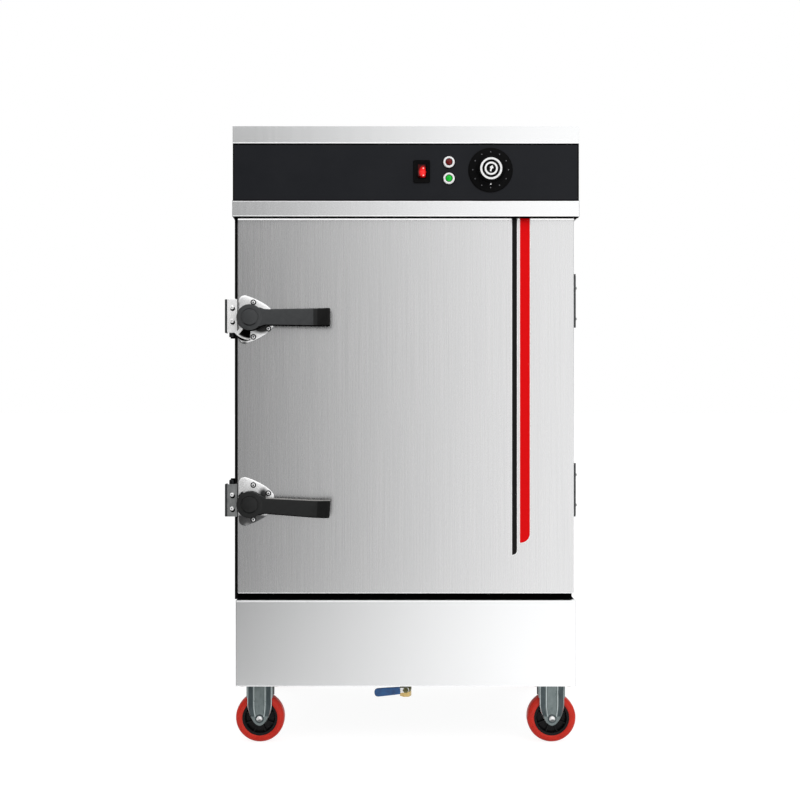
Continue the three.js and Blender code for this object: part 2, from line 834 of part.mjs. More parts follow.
function controlStrip() {
  const stripX = both(headHalf - stripEnd);
  const stripZ = [stripBottom + seatGap, stripTop - seatGap];
  const plate = block(stripX, [stripFront, stripBack], stripZ);
  piece(cabinet, "control_strip", cut(plate, controlHoles()), blackGloss);
}
controlStrip();

function powerSwitch() {
  const bezelBack = stripFront - seatGap;
  const bezelFront = bezelBack - bezelThickness;
  const place = groupAt(cabinet, switchX, bezelFront, switchZ);
  const bezelY = [0, bezelThickness];
  const bezel = block(both(bezelWidth / 2), bezelY, both(bezelHeight / 2));
  const bodyY = [bezelThickness / 2, switchBodyDepth];
  const body = block(both(switchBodyWidth / 2), bodyY, both(switchBodyHeight / 2));
  const pocketY = [-overrun, pocketDepth];
  const pocket = block(both(pocketWidth / 2), pocketY, both(pocketHeight / 2));
  const pivotY = pocketDepth / 2;
  const bearingX = both(trunnionLength / 2 + seatGap);
  const bearing = rod("x", [pivotY, 0], trunnionRadius + seatGap, bearingX, smallSides);
  const housing = cut(joined([bezel, body]), [pocket, bearing]);
  piece(place, "switch_housing", housing, blackPlastic);

  const pivot = groupAt(place, 0, pivotY, 0);
  const side = outline([
    [-rockerValley, 0],
    [-rockerTip, -rockerHeight / 2],
    [0, -rockerHeight / 2],
    [rockerBack, -rockerFoot / 2],
    [rockerBack, rockerFoot / 2],
    [0, rockerHeight / 2],
    [-rockerTip, rockerHeight / 2],
  ]);
  const rocker = prism("x", side, both(rockerWidth / 2));
  const trunnion = rod("x", [0, 0], trunnionRadius, both(trunnionLength / 2), smallSides);
  const mesh = piece(pivot, "switch_rocker", joined([rocker, trunnion]), redLens);
  mesh.rotation.x = -rockerTilt;
}
powerSwitch();

function indicatorLamp(name, finish) {
  const place = groupAt(cabinet, lampX, stripFront - seatGap, headBottom + lampHeights[name]);
  const domeFront = -lampRingThickness - lampLensDome;
  const lamp = turned([
    [0, lampBarrelLength],
    [lampBarrelRadius, lampBarrelLength],
    [lampBarrelRadius, 0],
    [lampRingRadius, 0],
    [lampRingRadius, -lampRingThickness / 2],
    [(lampRingRadius + lampLensRadius) / 2, -lampRingThickness],
    [lampLensRadius, -lampRingThickness],
    [lampLensRadius * Math.cos(Math.PI / 4), domeFront * Math.sin(Math.PI / 4)],
    [0, domeFront],
  ]);
  piece(place, name, lamp, finish);
}
indicatorLamp("power_lamp", redLens);
indicatorLamp("work_lamp", greenLens);

function timer() {
  const knobBack = stripFront - skirtThickness;
  const place = groupAt(cabinet, timerX, knobBack, timerZ);
  const bodyFront = wallBack + seatGap - knobBack;
  const bodyY = [bodyFront, bodyFront + timerBodyDepth];
  const body = block(both(timerBodySize / 2), bodyY, both(timerBodySize / 2));
  const bushing = rod("y", [0, 0], bushingRadius, [seatGap, bodyFront + overrun]);
  const boreY = [-overrun, timerShaftLength + seatGap];
  const bore = rod("y", [0, 0], timerShaftRadius + runningGap, boreY, smallSides);
  piece(place, "timer_unit", cut(joined([body, bushing]), [bore]), blackPlastic);

  const skirtFront = -skirtThickness;
  const knobFront = skirtFront - knobHeight;
  const knob = turned(
    [
      [0, timerShaftLength],
      [timerShaftRadius, timerShaftLength],
      [timerShaftRadius, 0],
      [skirtRadius, 0],
      [skirtRadius, skirtFront / 2],
      [skirtRadius - skirtBevel, skirtFront],
      [knobRadius, skirtFront],
      [knobRadius, knobFront + knobBevel],
      [knobRadius - knobBevel, knobFront],
      [0, knobFront],
    ],
    wheelSides,
  );
  const pointer = block(
    both(pointerWidth / 2),
    [knobFront - pointerHeight, knobFront + knobBevel],
    [knobRadius * pointerInnerShare, knobRadius * pointerOuterShare],
  );
  piece(place, "timer_knob", joined([knob, pointer]), blackPlastic);
}
timer();

function contactor() {
  const place = groupAt(cabinet, contactorX, contactorY, headBottom + sheet + seatGap);
  const foot = block(both(contactorWidth / 2), both(contactorDepth / 2), [0, contactorHeight]);
  const coilZ = [contactorHeight / 2, contactorHeight + coilHeight];
  const coil = block(both(coilWidth / 2), both(coilDepth / 2), coilZ);
  piece(place, "contactor", joined([foot, coil]), blackPlastic);
}
contactor();

function cableGland() {
  const place = groupAt(cabinet, glandX, back, headBottom + glandHeight);
  const inner = -sheet - seatGap;
  const nutEnd = seatGap + glandNutLength;
  const gland = turned([
    [glandBoreRadius, inner - glandLocknut],
    [glandBoreRadius, nutEnd + glandDomeLength],
    [glandBoreRadius + glandNutRadius / 4, nutEnd + glandDomeLength],
    [glandThreadRadius, nutEnd + glandDomeLength / 2],
    [glandThreadRadius, nutEnd],
    [glandNutRadius, nutEnd],
    [glandNutRadius, seatGap],
    [glandThreadRadius, seatGap],
    [glandThreadRadius, inner],
    [glandNutRadius, inner],
    [glandNutRadius, inner - glandLocknut],
    [glandBoreRadius, inner - glandLocknut],
  ]);
  piece(place, "cable_gland", gland, blackPlastic);
}
cableGland();

// Door on its hinge axis

const hingeX = bodyHalf + knuckleRadius;
const hingeAxis = groupAt(cabinet, hingeX, doorBack, 0);
const door = groupAt(hingeAxis, -hingeX, -doorBack, 0);
const latchX = -doorHalf + latchInset;
const plateShifts = { upper: upperPlateShift, lower: lowerPlateShift };
const latchCentres = Object.values(hubZ).map((z) => [latchX, z]);

function doorSkins() {
  const outer = block(both(doorHalf), [doorFront, doorBack], [doorBottom, doorTop]);
  const hollowY = [doorFront + sheet, doorBack + overrun];
  const hollowZ = [doorBottom + sheet, doorTop - sheet];
  const hollow = block(both(doorHalf - sheet), hollowY, hollowZ);
  const skinHoles = latchCentres.map((centre) =>
    rod("y", centre, spindleRadius + seatGap, [doorFront - overrun, hollowY[0] + overrun]),
  );
  piece(door, "door_outer_skin", cut(outer, [hollow, ...skinHoles]), brushedSteel);

  const innerHalf = doorHalf - sheet - seatGap;
  const innerZ = [doorBottom + sheet + seatGap, doorTop - sheet - seatGap];
  const panel = block(both(innerHalf), [doorBack - sheet, doorBack], innerZ);
  piece(door, "door_inner_skin", panel, satinSteel);

  const fillY = [doorFront + sheet + seatGap, doorBack - sheet - seatGap];
  const fill = block(both(innerHalf), fillY, innerZ);
  const wells = latchCentres.map((centre) =>
    rod("y", centre, spindleRadius + seatGap, [doorFront, doorFront + sheet + spindleReach + seatGap]),
  );
  piece(door, "door_insulation", cut(fill, wells), mineralWool);
}
doorSkins();

function hinge(label, height) {
  const axisZ = doorBottom + height;
  const third = hingeLength / 3;
  const half = hingeLength / 2;
  const middle = both(third / 2 - seatGap / 2);
  const ends = [
    [-half, -third / 2 - seatGap / 2],
    [third / 2 + seatGap / 2, half],
  ];
  const clearOfKnuckle = knuckleRadius + runningGap;

  // The fixed leaf lies on the body's side and carries the pin.
  const fixed = groupAt(cabinet, hingeX, doorBack, axisZ);
  const bodyLeafX = [seatGap - knuckleRadius, seatGap - knuckleRadius + leafThickness];
  const bodyLeaf = block(bodyLeafX, [0, leafBodyWidth], both(half));
  const notchY = [-overrun, clearOfKnuckle];
  const notch = block(both(2 * knuckleRadius), notchY, both(third / 2 + seatGap / 2));
  const endKnuckles = ends.map((span) => rod("z", [0, 0], knuckleRadius, span, smallSides));
  const pin = rod("z", [0, 0], hingePinRadius, both(half), smallSides);
  const fixedLeaf = joined([cut(bodyLeaf, [notch]), ...endKnuckles, pin]);
  piece(fixed, `hinge_body_leaf_${label}`, fixedLeaf, brightSteel);

  // The moving leaf lies on the door's edge.
  const moving = groupAt(hingeAxis, 0, 0, axisZ);
  const doorLeafX = [doorHalf + seatGap - hingeX, doorHalf + seatGap - hingeX + leafThickness];
  const doorLeaf = block(doorLeafX, [-leafDoorWidth, 0], both(half));
  const doorNotches = ends.map(([low, high]) => {
    const notchZ = low < 0 ? [low - overrun, high + seatGap] : [low - seatGap, high + overrun];
    return block(both(2 * knuckleRadius), [-clearOfKnuckle, overrun], notchZ);
  });
  const knuckle = rod("z", [0, 0], knuckleRadius, middle, smallSides);
  const pinHole = rod("z", [0, 0], hingePinRadius + seatGap, both(half), smallSides);
  const movingLeaf = cut(joined([cut(doorLeaf, doorNotches), knuckle]), [pinHole]);
  piece(moving, `hinge_door_leaf_${label}`, movingLeaf, brightSteel);
}
hinge("upper", upperHingeHeight);
hinge("lower", lowerHingeHeight);

// A latch on the door; hand is 1 with the plate's middle and the hook below the hub, -1 with them above.
function latch(label, hand, droop) {
  const place = groupAt(door, latchX, doorFront, hubZ[label]);
  const plateBack = -seatGap;
  const plateFront = plateBack - plateThickness;
  const middle = -hand * plateShifts[label];
  const top = middle + plateHeight / 2;
  const bottom = middle - plateHeight / 2;
  const bendX = plateRight - plateCorner;
  const shield = new THREE.Shape();
  shield.moveTo(-plateLeft, top - plateCorner);
  shield.quadraticCurveTo(-plateLeft, top, plateCorner - plateLeft, top);
  shield.quadraticCurveTo(bendX, top - plateCorner, plateRight, middle + plateCorner);
  shield.lineTo(plateRight, middle - plateCorner);
  shield.quadraticCurveTo(bendX, bottom + plateCorner, plateCorner - plateLeft, bottom);
  shield.quadraticCurveTo(-plateLeft, bottom, -plateLeft, bottom + plateCorner);
  const plate = prism("y", shield, [plateFront, plateBack]);
  const holeY = [plateFront - overrun, overrun];
  const hole = rod("y", [0, 0], spindleRadius + seatGap, holeY);
  piece(place, `latch_plate_${label}`, cut(plate, [hole]), brightSteel);

  const camBack = plateFront - seatGap;
  const camFront = camBack - camThickness;
  const disc = rod("y", [0, 0], camRadius, [camFront, camBack]);
  const hook = new THREE.Shape();
  hook.moveTo(0, 0);
  for (let i = 0; i <= curveSteps; i += 1) {
    const angle = hookStart + (i / curveSteps) * (hookEnd - hookStart);
    hook.lineTo(hookRadius * Math.cos(angle), hand * hookRadius * Math.sin(angle));
  }
  const tongue = prism("y", hook, [camFront, camBack]);
  const spindle = rod("y", [0, 0], spindleRadius, [camFront, sheet + spindleReach]);
  piece(place, `latch_cam_${label}`, joined([disc, tongue, spindle]), zincSteel);

  const hubBack = camFront - seatGap;
  const hubFront = hubBack - hubDepth;
  const hub = rod("y", [0, 0], hubRadius, [hubFront, hubBack], wheelSides);
  const cap = rod("y", [0, 0], capRadius, [hubFront - capDepth, hubBack], wheelSides);
  const lever = joined([hub, cap, leverArm(hubFront)]);
  piece(place, `latch_lever_${label}`, lever, blackPlastic).rotation.y = droop;
}

// The lever's arm: seen from the front it widens to its end, and seen from above its end curls out.
function leverArm(hubFront) {
  const bendX = leverLength - leverCurl;
  const armBack = hubFront + leverThickness;
  const side = new THREE.Shape();
  side.moveTo(0, hubFront);
  side.lineTo(bendX, hubFront);
  side.quadraticCurveTo(leverLength - leverCurl / 2, hubFront, leverLength, hubFront - leverCurlReach);
  side.lineTo(leverLength, armBack - leverCurlReach);
  side.quadraticCurveTo(leverLength - leverCurl / 2, armBack, bendX, armBack);
  side.lineTo(0, armBack);
  const bent = prism("z", side, both(leverTipHeight));
  const face = outline([
    [0, -leverRootHeight / 2],
    [leverLength, -leverTipHeight / 2],
    [leverLength, leverTipHeight / 2],
    [0, leverRootHeight / 2],
  ]);
  const faceY = [hubFront - 2 * leverCurlReach, armBack + overrun];
  return bent.intersect(prism("y", face, faceY));
}
latch("upper", 1, 0);
latch("lower", -1, lowerLeverDroop);

// The strike that a latch works on: a bent bracket on the body's side with a roller in it.
function strike(label, hand) {
  const place = groupAt(cabinet, 0, 0, hubZ[label] + strikeLift);
  const strikeFront = doorFront - strikeProud;
  const webRight = -bodyHalf - seatGap;
  const webLeft = webRight - strikeThickness;
  const faceRight = -doorHalf - strikeDoorGap;
  const faceLeft = faceRight - strikeWidth;
  const bracket = outline([
    [faceLeft, strikeFront],
    [faceRight, strikeFront],
    [faceRight, strikeFront + strikeThickness],
    [webRight, strikeFront + strikeThickness],
    [webRight, frameFront + strikeFoot],
    [webLeft, frameFront + strikeFoot],
    [webLeft, strikeFront + strikeThickness],
    [faceLeft + strikeThickness, strikeFront + strikeThickness],
    [faceLeft + strikeThickness, strikeFront + strikeReturn],
    [faceLeft, strikeFront + strikeReturn],
  ]);
  const half = strikeHeight / 2;
  const body = prism("z", bracket, both(half));
  const rollerX = faceLeft + strikeThickness + rollerRadius - rollerSink;
  const rollerY = strikeFront + strikeReturn / 2;
  const rollerZ = hand > 0 ? [-half - rollerEnd, half] : [-half, half + rollerEnd];
  const roller = rod("z", [rollerX, rollerY], rollerRadius, rollerZ, smallSides);
  piece(place, `strike_${label}`, joined([body, roller]), brightSteel);
}
strike("upper", 1);
strike("lower", -1);

// Casters

function forkLeg(topZ) {
  const half = forkTopWidth / 2;
  const leg = new THREE.Shape();
  leg.moveTo(-half, topZ);
  leg.lineTo(-half, forkShoulder);
  leg.quadraticCurveTo(-half, 0, -forkTipRadius, forkTipRadius - forkTipDrop);
  leg.quadraticCurveTo(0, -forkTipDrop - forkTipRadius / 2, forkTipRadius, forkTipRadius - forkTipDrop);
  leg.quadraticCurveTo(half, 0, half, forkShoulder);
  leg.lineTo(half, topZ);
  return leg;
}

function caster(label, sideX, sideY) {
  const place = groupAt(cabinet, sideX * casterX, sideY * (back - casterInset), wheelRadius);
  const plateTop = underside - seatGap - wheelRadius;
  const plateBottom = plateTop - forkPlateThickness;
  const plateX = both(forkPlateLength / 2);
  const plate = block(plateX, both(forkPlateWidth / 2), [plateBottom, plateTop]);
  const legOuter = forkLegGap + forkLegThickness;
  const legs = [
    [-legOuter, -forkLegGap],
    [forkLegGap, legOuter],
  ].map((span) => prism("y", forkLeg(plateTop - forkPlateThickness / 2), span));
  const boltEnd = legOuter + boltHeadThickness;
  const axle = rod("y", [0, 0], axleRadius, both(legOuter + boltHeadThickness / 2), smallSides);
  const heads = [
    [-boltEnd, -legOuter + forkLegThickness / 2],
    [legOuter - forkLegThickness / 2, boltEnd],
  ].map((span) => rod("y", [0, 0], boltHeadRadius, span, hexSides));
  piece(place, `caster_fork_${label}`, joined([plate, ...legs, axle, ...heads]), zincSteel);

  const bore = axleRadius + runningGap;
  const rimInner = coreRadius - coreRim;
  const core = turned([
    [bore, -hubHalfWidth],
    [bore, hubHalfWidth],
    [wheelHubRadius, hubHalfWidth],
    [wheelHubRadius, webHalfWidth],
    [rimInner, webHalfWidth],
    [rimInner, coreHalfWidth],
    [coreRadius, coreHalfWidth],
    [coreRadius, -coreHalfWidth],
    [rimInner, -coreHalfWidth],
    [rimInner, -webHalfWidth],
    [wheelHubRadius, -webHalfWidth],
    [wheelHubRadius, -hubHalfWidth],
    [bore, -hubHalfWidth],
  ]);
  piece(place, `wheel_core_${label}`, core, blackPlastic);

  // Flats of the facets touch the floor, so the tyre's corners lie a little outside its radius.
  const toCorner = 1 / Math.cos(Math.PI / wheelSides);
  const inner = (coreRadius + seatGap) * toCorner;
  const outer = wheelRadius * toCorner;
  const shoulder = outer - tyreShoulder;
  const tread = tyreHalfWidth - tyreShoulder;
  const tyre = turned(
    [
      [inner, -coreHalfWidth],
      [inner, coreHalfWidth],
      [shoulder - tyreShoulder, tyreHalfWidth],
      [shoulder, tyreHalfWidth],
      [outer, tread],
      [outer, -tread],
      [shoulder, -tyreHalfWidth],
      [shoulder - tyreShoulder, -tyreHalfWidth],
      [inner, -coreHalfWidth],
    ],
    wheelSides,
  );
  const mesh = piece(place, `tyre_${label}`, tyre, redPolyurethane);
  mesh.rotation.y = Math.PI / wheelSides;
}
caster("front_left", -1, -1);
caster("front_right", 1, -1);
caster("rear_left", -1, 1);
caster("rear_right", 1, 1);

// The part's origin is on the floor, at the middle of its footprint.
const part = new THREE.Group();
part.add(cabinet);
const footprint = new THREE.Box3().setFromObject(cabinet, true).getCenter(new THREE.Vector3());
cabinet.position.set(-footprint.x, -footprint.y, 0);

export default part;
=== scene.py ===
"""Looks of the steaming cabinet: materials, fine pieces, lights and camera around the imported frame.

Lengths are in metres in the shared frame: +Z up, the door faces -Y, the floor is z = 0.
"""
import json
from math import cos, pi, radians, sin, sqrt

import bmesh
import bpy
from mathutils import Matrix, Vector


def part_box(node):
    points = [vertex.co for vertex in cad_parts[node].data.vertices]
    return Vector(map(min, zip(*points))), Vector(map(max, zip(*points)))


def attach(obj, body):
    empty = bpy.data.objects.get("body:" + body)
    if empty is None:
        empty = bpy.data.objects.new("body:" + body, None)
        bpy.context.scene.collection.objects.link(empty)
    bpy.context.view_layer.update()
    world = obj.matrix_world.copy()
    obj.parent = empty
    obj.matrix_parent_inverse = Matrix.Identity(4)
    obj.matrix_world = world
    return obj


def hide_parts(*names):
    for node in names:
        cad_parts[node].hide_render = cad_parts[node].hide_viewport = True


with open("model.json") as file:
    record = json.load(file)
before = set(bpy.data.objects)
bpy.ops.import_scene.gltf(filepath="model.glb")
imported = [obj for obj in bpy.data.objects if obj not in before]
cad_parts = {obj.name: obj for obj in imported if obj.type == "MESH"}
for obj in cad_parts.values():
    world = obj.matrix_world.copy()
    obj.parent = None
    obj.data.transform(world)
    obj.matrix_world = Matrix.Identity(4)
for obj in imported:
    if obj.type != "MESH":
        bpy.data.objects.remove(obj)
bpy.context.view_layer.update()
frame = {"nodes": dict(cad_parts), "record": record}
nodes = frame["nodes"]
scene = bpy.context.scene

# Where things are, read from the frame
door_low, door_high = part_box("door_outer_skin")
head_low, head_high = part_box("head_shell")
strip_low, strip_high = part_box("control_strip")
base_low, base_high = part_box("base_front_panel")
middle_x = (head_low.x + head_high.x) / 2
front_y = head_low.y

# Camera: level, square on to the front, as in the photograph
CAMERA_DISTANCE = 2.5
CAMERA_HEIGHT = 0.7027
CAMERA_SIDE = -0.0118
VIEW_WIDTH = 1.616
SENSOR_WIDTH = 36.0

materials = {}


def box_middle(name):
    """A CAD node's corners, and the middle of its front."""
    low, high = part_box(name)
    return low, high, (low.x + high.x) / 2, (low.z + high.z) / 2


def node_tree(owner):
    """The empty node tree of a material or a world."""
    owner.use_nodes = True
    owner.node_tree.nodes.clear()
    return owner.node_tree


def put(tree, socket, value):
    """Sets a socket to a value, or links it to another socket."""
    if isinstance(value, bpy.types.NodeSocket):
        tree.links.new(value, socket)
    else:
        socket.default_value = value


def add(tree, kind, *in_order, operation=None, **sockets):
    """A shader node with some of its sockets set, in their order or by name."""
    node = tree.nodes.new("ShaderNode" + kind)
    if operation:
        node.operation = operation
    for socket, value in zip(node.inputs, in_order):
        put(tree, socket, value)
    for name, value in sockets.items():
        put(tree, node.inputs[name.replace("_", " ")], value)
    return node


def triple(value):
    """A tone or a scale, where one number stands for three equal ones."""
    return value if isinstance(value, tuple) else (value,) * 3


def blend_colours(tree, share, first, second):
    """The first colour where share is 0, the second where it is 1."""
    mix = add(tree, "Mix")
    mix.data_type = "RGBA"
    put(tree, mix.inputs["Factor"], share)
    for socket, value in zip([s for s in mix.inputs if s.type == "RGBA"], (first, second)):
        put(tree, socket, value if isinstance(value, bpy.types.NodeSocket) else (*triple(value), 1.0))
    return next(s for s in mix.outputs if s.type == "RGBA")


def spot_share(tree, place, centre, size, core):
    """1 in the core of an oval region about centre, falling to 0 at its edge; size is its half-widths."""
    kind = "VectorMath"
    offset = add(tree, kind, place, centre, operation="SUBTRACT").outputs["Vector"]
    scaled = add(tree, kind, offset, size, operation="DIVIDE").outputs["Vector"]
    reach = add(tree, kind, scaled, operation="LENGTH").outputs["Value"]
    return add(tree, "MapRange", Value=reach, From_Min=core, From_Max=1.0, To_Min=1.0,
        To_Max=0.0).outputs["Result"]


def surface(name, light, dark, rough, grain, fine=None, bump=0.1, depth=0.0002, metal=0.0, gloss=0.5,
        spots=(), shine=0.0, **sockets):
    """Makes a material whose colour, roughness and relief vary with a stretched noise.

    light and dark are its two tones, rough its two roughnesses, and grain the noise's
    repeats a metre along X, Y and Z. fine gives the relief a second, finer noise. Each of
    spots is (centre, half-widths, core's share, colour), and shine lets its colours glow.
    """
    material = materials[name] = bpy.data.materials.new(name)
    tree = node_tree(material)
    place = add(tree, "TexCoord").outputs["Object"]

    def noise(repeats, detail, roughness):
        stretched = add(tree, "Mapping", Vector=place, Scale=triple(repeats)).outputs["Vector"]
        return add(tree, "TexNoise", Vector=stretched, Scale=1.0, Detail=detail,
            Roughness=roughness).outputs["Fac"]

    value = noise(grain, 3.0, 0.6)
    share = add(tree, "MapRange", Value=value, From_Min=0.3, From_Max=0.7).outputs["Result"]
    colour = blend_colours(tree, share, dark, light)
    for centre, size, core, spot_colour in spots:
        colour = blend_colours(tree, spot_share(tree, place, centre, size, core), colour, spot_colour)
    roughness = add(tree, "MapRange", Value=share, To_Min=rough[0], To_Max=rough[1])
    relief = add(tree, "Bump", Height=noise(fine, 2.0, 0.5) if fine else value, Strength=bump, Distance=depth)
    shader = add(tree, "BsdfPrincipled", Base_Color=colour, Roughness=roughness.outputs["Result"],
        Normal=relief.outputs["Normal"], Metallic=metal, Specular_IOR_Level=gloss, **sockets)
    if shine:
        put(tree, shader.inputs["Emission Color"], colour)
        put(tree, shader.inputs["Emission Strength"], shine)
    add(tree, "OutputMaterial", shader.outputs["BSDF"])


surface("satin_steel", (0.83, 0.835, 0.84), (0.815, 0.82, 0.825), (0.24, 0.27), (160, 160, 3), bump=0.004,
    metal=1.0)
surface("brushed_steel", (0.675, 0.675, 0.678), (0.608, 0.608, 0.612), (0.24, 0.29), (420, 420, 3),
    bump=0.025, metal=1.0)
surface("liner_steel", (0.7, 0.71, 0.72), (0.65, 0.66, 0.67), (0.27, 0.34), (260, 260, 3), bump=0.012,
    metal=1.0)
surface("tray_steel", (0.78, 0.79, 0.8), (0.7, 0.71, 0.72), (0.2, 0.3), 20, bump=0.02, metal=1.0)
surface("bright_steel", 0.9, (0.8, 0.8, 0.81), (0.1, 0.2), 60, bump=0.03, metal=1.0)
surface("plated_casting", 0.95, (0.89, 0.89, 0.895), (0.2, 0.28), 70, bump=0.03, metal=0.55)
surface("dark_zinc", (0.16, 0.165, 0.17), (0.1, 0.105, 0.11), (0.34, 0.46), 90, bump=0.08, metal=1.0)
surface("matt_black", (0.0045, 0.0045, 0.0048), (0.003, 0.003, 0.0032), (0.5, 0.62), 150, fine=1400,
    bump=0.06, gloss=0.04)
# Plating that glows a little though it is no lamp: a painted glow that lifts it to white.
surface("painted_glow_plating", 0.98, 0.94, (0.24, 0.32), 70, bump=0.03, shine=0.08, metal=0.25)
surface("shaded_zinc", (0.052, 0.054, 0.056), (0.036, 0.038, 0.04), (0.45, 0.6), 90, bump=0.08, gloss=0.12)
# Near-black zinc painted on parts that lie in shade.
surface("painted_shade_zinc", (0.045, 0.047, 0.05), (0.02, 0.021, 0.022), (0.34, 0.46), 90, bump=0.08, metal=1.0)
# Flat black, used for black trim and for painted shade in grooves, gaps, recesses and undersides.
surface("black_and_painted_shade", (0.0016, 0.0016, 0.0017), (0.0008, 0.0008, 0.0009), (0.6, 0.75), 150, bump=0.04,
    gloss=0.01)
# Two copies of the door's fold: the glowing one is a painted highlight along the top edge, the flat grey one
# a painted highlight along the left edge.
surface("painted_glow_fold", 0.97, 0.94, (0.4, 0.5), (200, 3, 3), bump=0.02, shine=0.7)
surface("painted_highlight_fold", 0.42, 0.38, (0.4, 0.5), (3, 3, 200), bump=0.02, gloss=0.2)
surface("lamp_ring", 0.98, 0.94, (0.3, 0.4), 90, bump=0.02, gloss=0.4)
surface("bright_fold", (0.95, 0.955, 0.96), (0.9, 0.905, 0.91), (0.3, 0.36), (200, 3, 3), bump=0.02,
    metal=1.0)
surface("zinc_steel", (0.42, 0.43, 0.43), (0.3, 0.31, 0.31), (0.32, 0.45), 90, bump=0.08, metal=1.0)
surface("fork_zinc", (0.2, 0.235, 0.235), (0.14, 0.17, 0.17), (0.26, 0.36), (120, 120, 60), fine=900,
    bump=0.12, metal=0.8)
# Two copies of the fork's zinc: the darker is painted shade between the ribs and round the axle, the lighter
# a painted highlight on the ribs and edges.
surface("fork_painted_shade", (0.075, 0.095, 0.1), (0.045, 0.06, 0.064), (0.3, 0.4), (120, 120, 60), fine=900,
    bump=0.12, metal=0.8)
surface("fork_painted_highlight", (0.52, 0.58, 0.58), (0.4, 0.45, 0.45), (0.26, 0.34), (120, 120, 60), fine=900,
    bump=0.12, metal=0.7)
surface("black_gloss", (0.0115, 0.0125, 0.0155), (0.0095, 0.0105, 0.0135), (0.38, 0.46), 14, fine=1500,
    bump=0.04, gloss=0.12)
surface("black_plastic", (0.012, 0.012, 0.0125), (0.007, 0.007, 0.0075), (0.36, 0.5), 150, fine=1400,
    bump=0.1, gloss=0.35)
surface("lever_nylon", (0.046, 0.048, 0.05), (0.036, 0.038, 0.04), (0.5, 0.62), 120, fine=1600, bump=0.14,
    gloss=0.3)
# Copies of the lever's nylon: the darker two are painted shade on the lower lever and on the curled tip, the
# pale one a painted highlight on the lower lever's upper faces.
surface("nylon_painted_shade", (0.017, 0.0175, 0.0175), (0.0125, 0.013, 0.013), (0.5, 0.62), 120, fine=1600, bump=0.14,
    gloss=0.2)
surface("nylon_painted_deep_shade", 0.0085, 0.0055, (0.5, 0.6), 120, fine=1600, bump=0.14, gloss=0.15)
surface("nylon_painted_highlight", (0.3, 0.29, 0.28), (0.22, 0.215, 0.21), (0.4, 0.5), 120, fine=1600, bump=0.1)
surface("black_rubber", 0.0025, 0.0012, (0.6, 0.8), (200, 200, 40), bump=0.1, gloss=0.06)
surface("mineral_wool", (0.68, 0.6, 0.36), (0.5, 0.43, 0.24), (0.9, 1.0), (300, 300, 40),
    fine=(900, 900, 200), bump=0.6, depth=0.001)
surface("element_copper", (0.5, 0.27, 0.17), (0.36, 0.18, 0.12), (0.3, 0.45), 70, bump=0.05, metal=1.0)
surface("float_copper", (0.78, 0.42, 0.26), (0.66, 0.33, 0.2), (0.22, 0.34), 50, bump=0.03, metal=1.0)
surface("brass", (0.66, 0.5, 0.22), (0.5, 0.36, 0.14), (0.24, 0.38), 110, bump=0.06, metal=1.0)
surface("olive_brass", (0.2, 0.19, 0.1), (0.06, 0.06, 0.025), (0.2, 0.32), 160, bump=0.08, metal=1.0)
surface("blue_vinyl", (0.016, 0.115, 0.33), (0.008, 0.06, 0.2), (0.34, 0.46), 90, fine=700, bump=0.12)
surface("wheel_core", (0.007, 0.007, 0.0075), (0.004, 0.004, 0.0045), (0.34, 0.48), 110, fine=900, bump=0.12,
    gloss=0.14)
surface("red_tyre", (0.68, 0.026, 0.011), (0.56, 0.019, 0.008), (0.34, 0.44), 60, fine=500, bump=0.05,
    gloss=0.25)
surface("black_stripe", (0.007, 0.006, 0.006), (0.005, 0.0045, 0.0045), (0.4, 0.5), 3, bump=0.02, gloss=0.1)
surface("red_stripe", (0.82, 0.0025, 0.004), (0.79, 0.002, 0.0035), (0.4, 0.5), 3, bump=0.02, gloss=0.04)
surface("white_edge", 0.95, 0.9, (0.4, 0.5), 3, bump=0.02, gloss=0.2)
surface("white_print", 0.97, 0.92, (0.5, 0.6), 200, bump=0.02, gloss=0.2)
surface("grey_print", (0.2, 0.2, 0.21), (0.13, 0.13, 0.14), (0.5, 0.6), 200, bump=0.02, gloss=0.2)
surface("red_lens", (0.72, 0.006, 0.006), (0.5, 0.003, 0.003), (0.12, 0.2), 240, bump=0.04,
    Emission_Color=(1.0, 0.004, 0.006, 1.0), Emission_Strength=0.12, gloss=0.25)
surface("dim_red_lens", (0.2, 0.008, 0.008), (0.1, 0.004, 0.004), (0.14, 0.22), 300, bump=0.03, gloss=0.2)
surface("green_lens", (0.004, 0.52, 0.03), (0.002, 0.36, 0.02), (0.12, 0.2), 200, bump=0.03,
    Emission_Color=(0.0, 0.8, 0.04, 1.0), Emission_Strength=0.1, gloss=0.2)


def lit_rocker():
    """The rocker: dark red at its edges, glowing at its lamp, with two painted highlights as bright points.
    """
    low, _, x, z = box_middle("switch_rocker")
    x, y, z = x + 0.0025, low.y, z - 0.0025
    spots = [((x, y, z), (0.0088, 1, 0.0135), 0.62, (0.78, 0.006, 0.006)),
        ((x, y, z), (0.004, 1, 0.0105), 0.2, (1.0, 0.03, 0.03))]
    # Two near-white spots: painted highlights of reflected light.
    for rise in (0.0078, -0.0072):
        spots.append(((x + 0.0008, y, z + rise), (0.0019, 1, 0.0019), 0.2, (1.0, 0.75, 0.7)))
    surface("lit_rocker", (0.05, 0.002, 0.002), (0.03, 0.001, 0.001), (0.14, 0.24), 240, bump=0.03,
        spots=spots, shine=0.22, gloss=0.15)


lit_rocker()


# Mesh helpers
def make_object(name, form, look):
    """An object made of a bmesh, with one material."""
    mesh = bpy.data.meshes.new(name)
    form.to_mesh(mesh)
    form.free()
    mesh.materials.append(look)
    made = bpy.data.objects.new(name, mesh)
    scene.collection.objects.link(made)
    return made


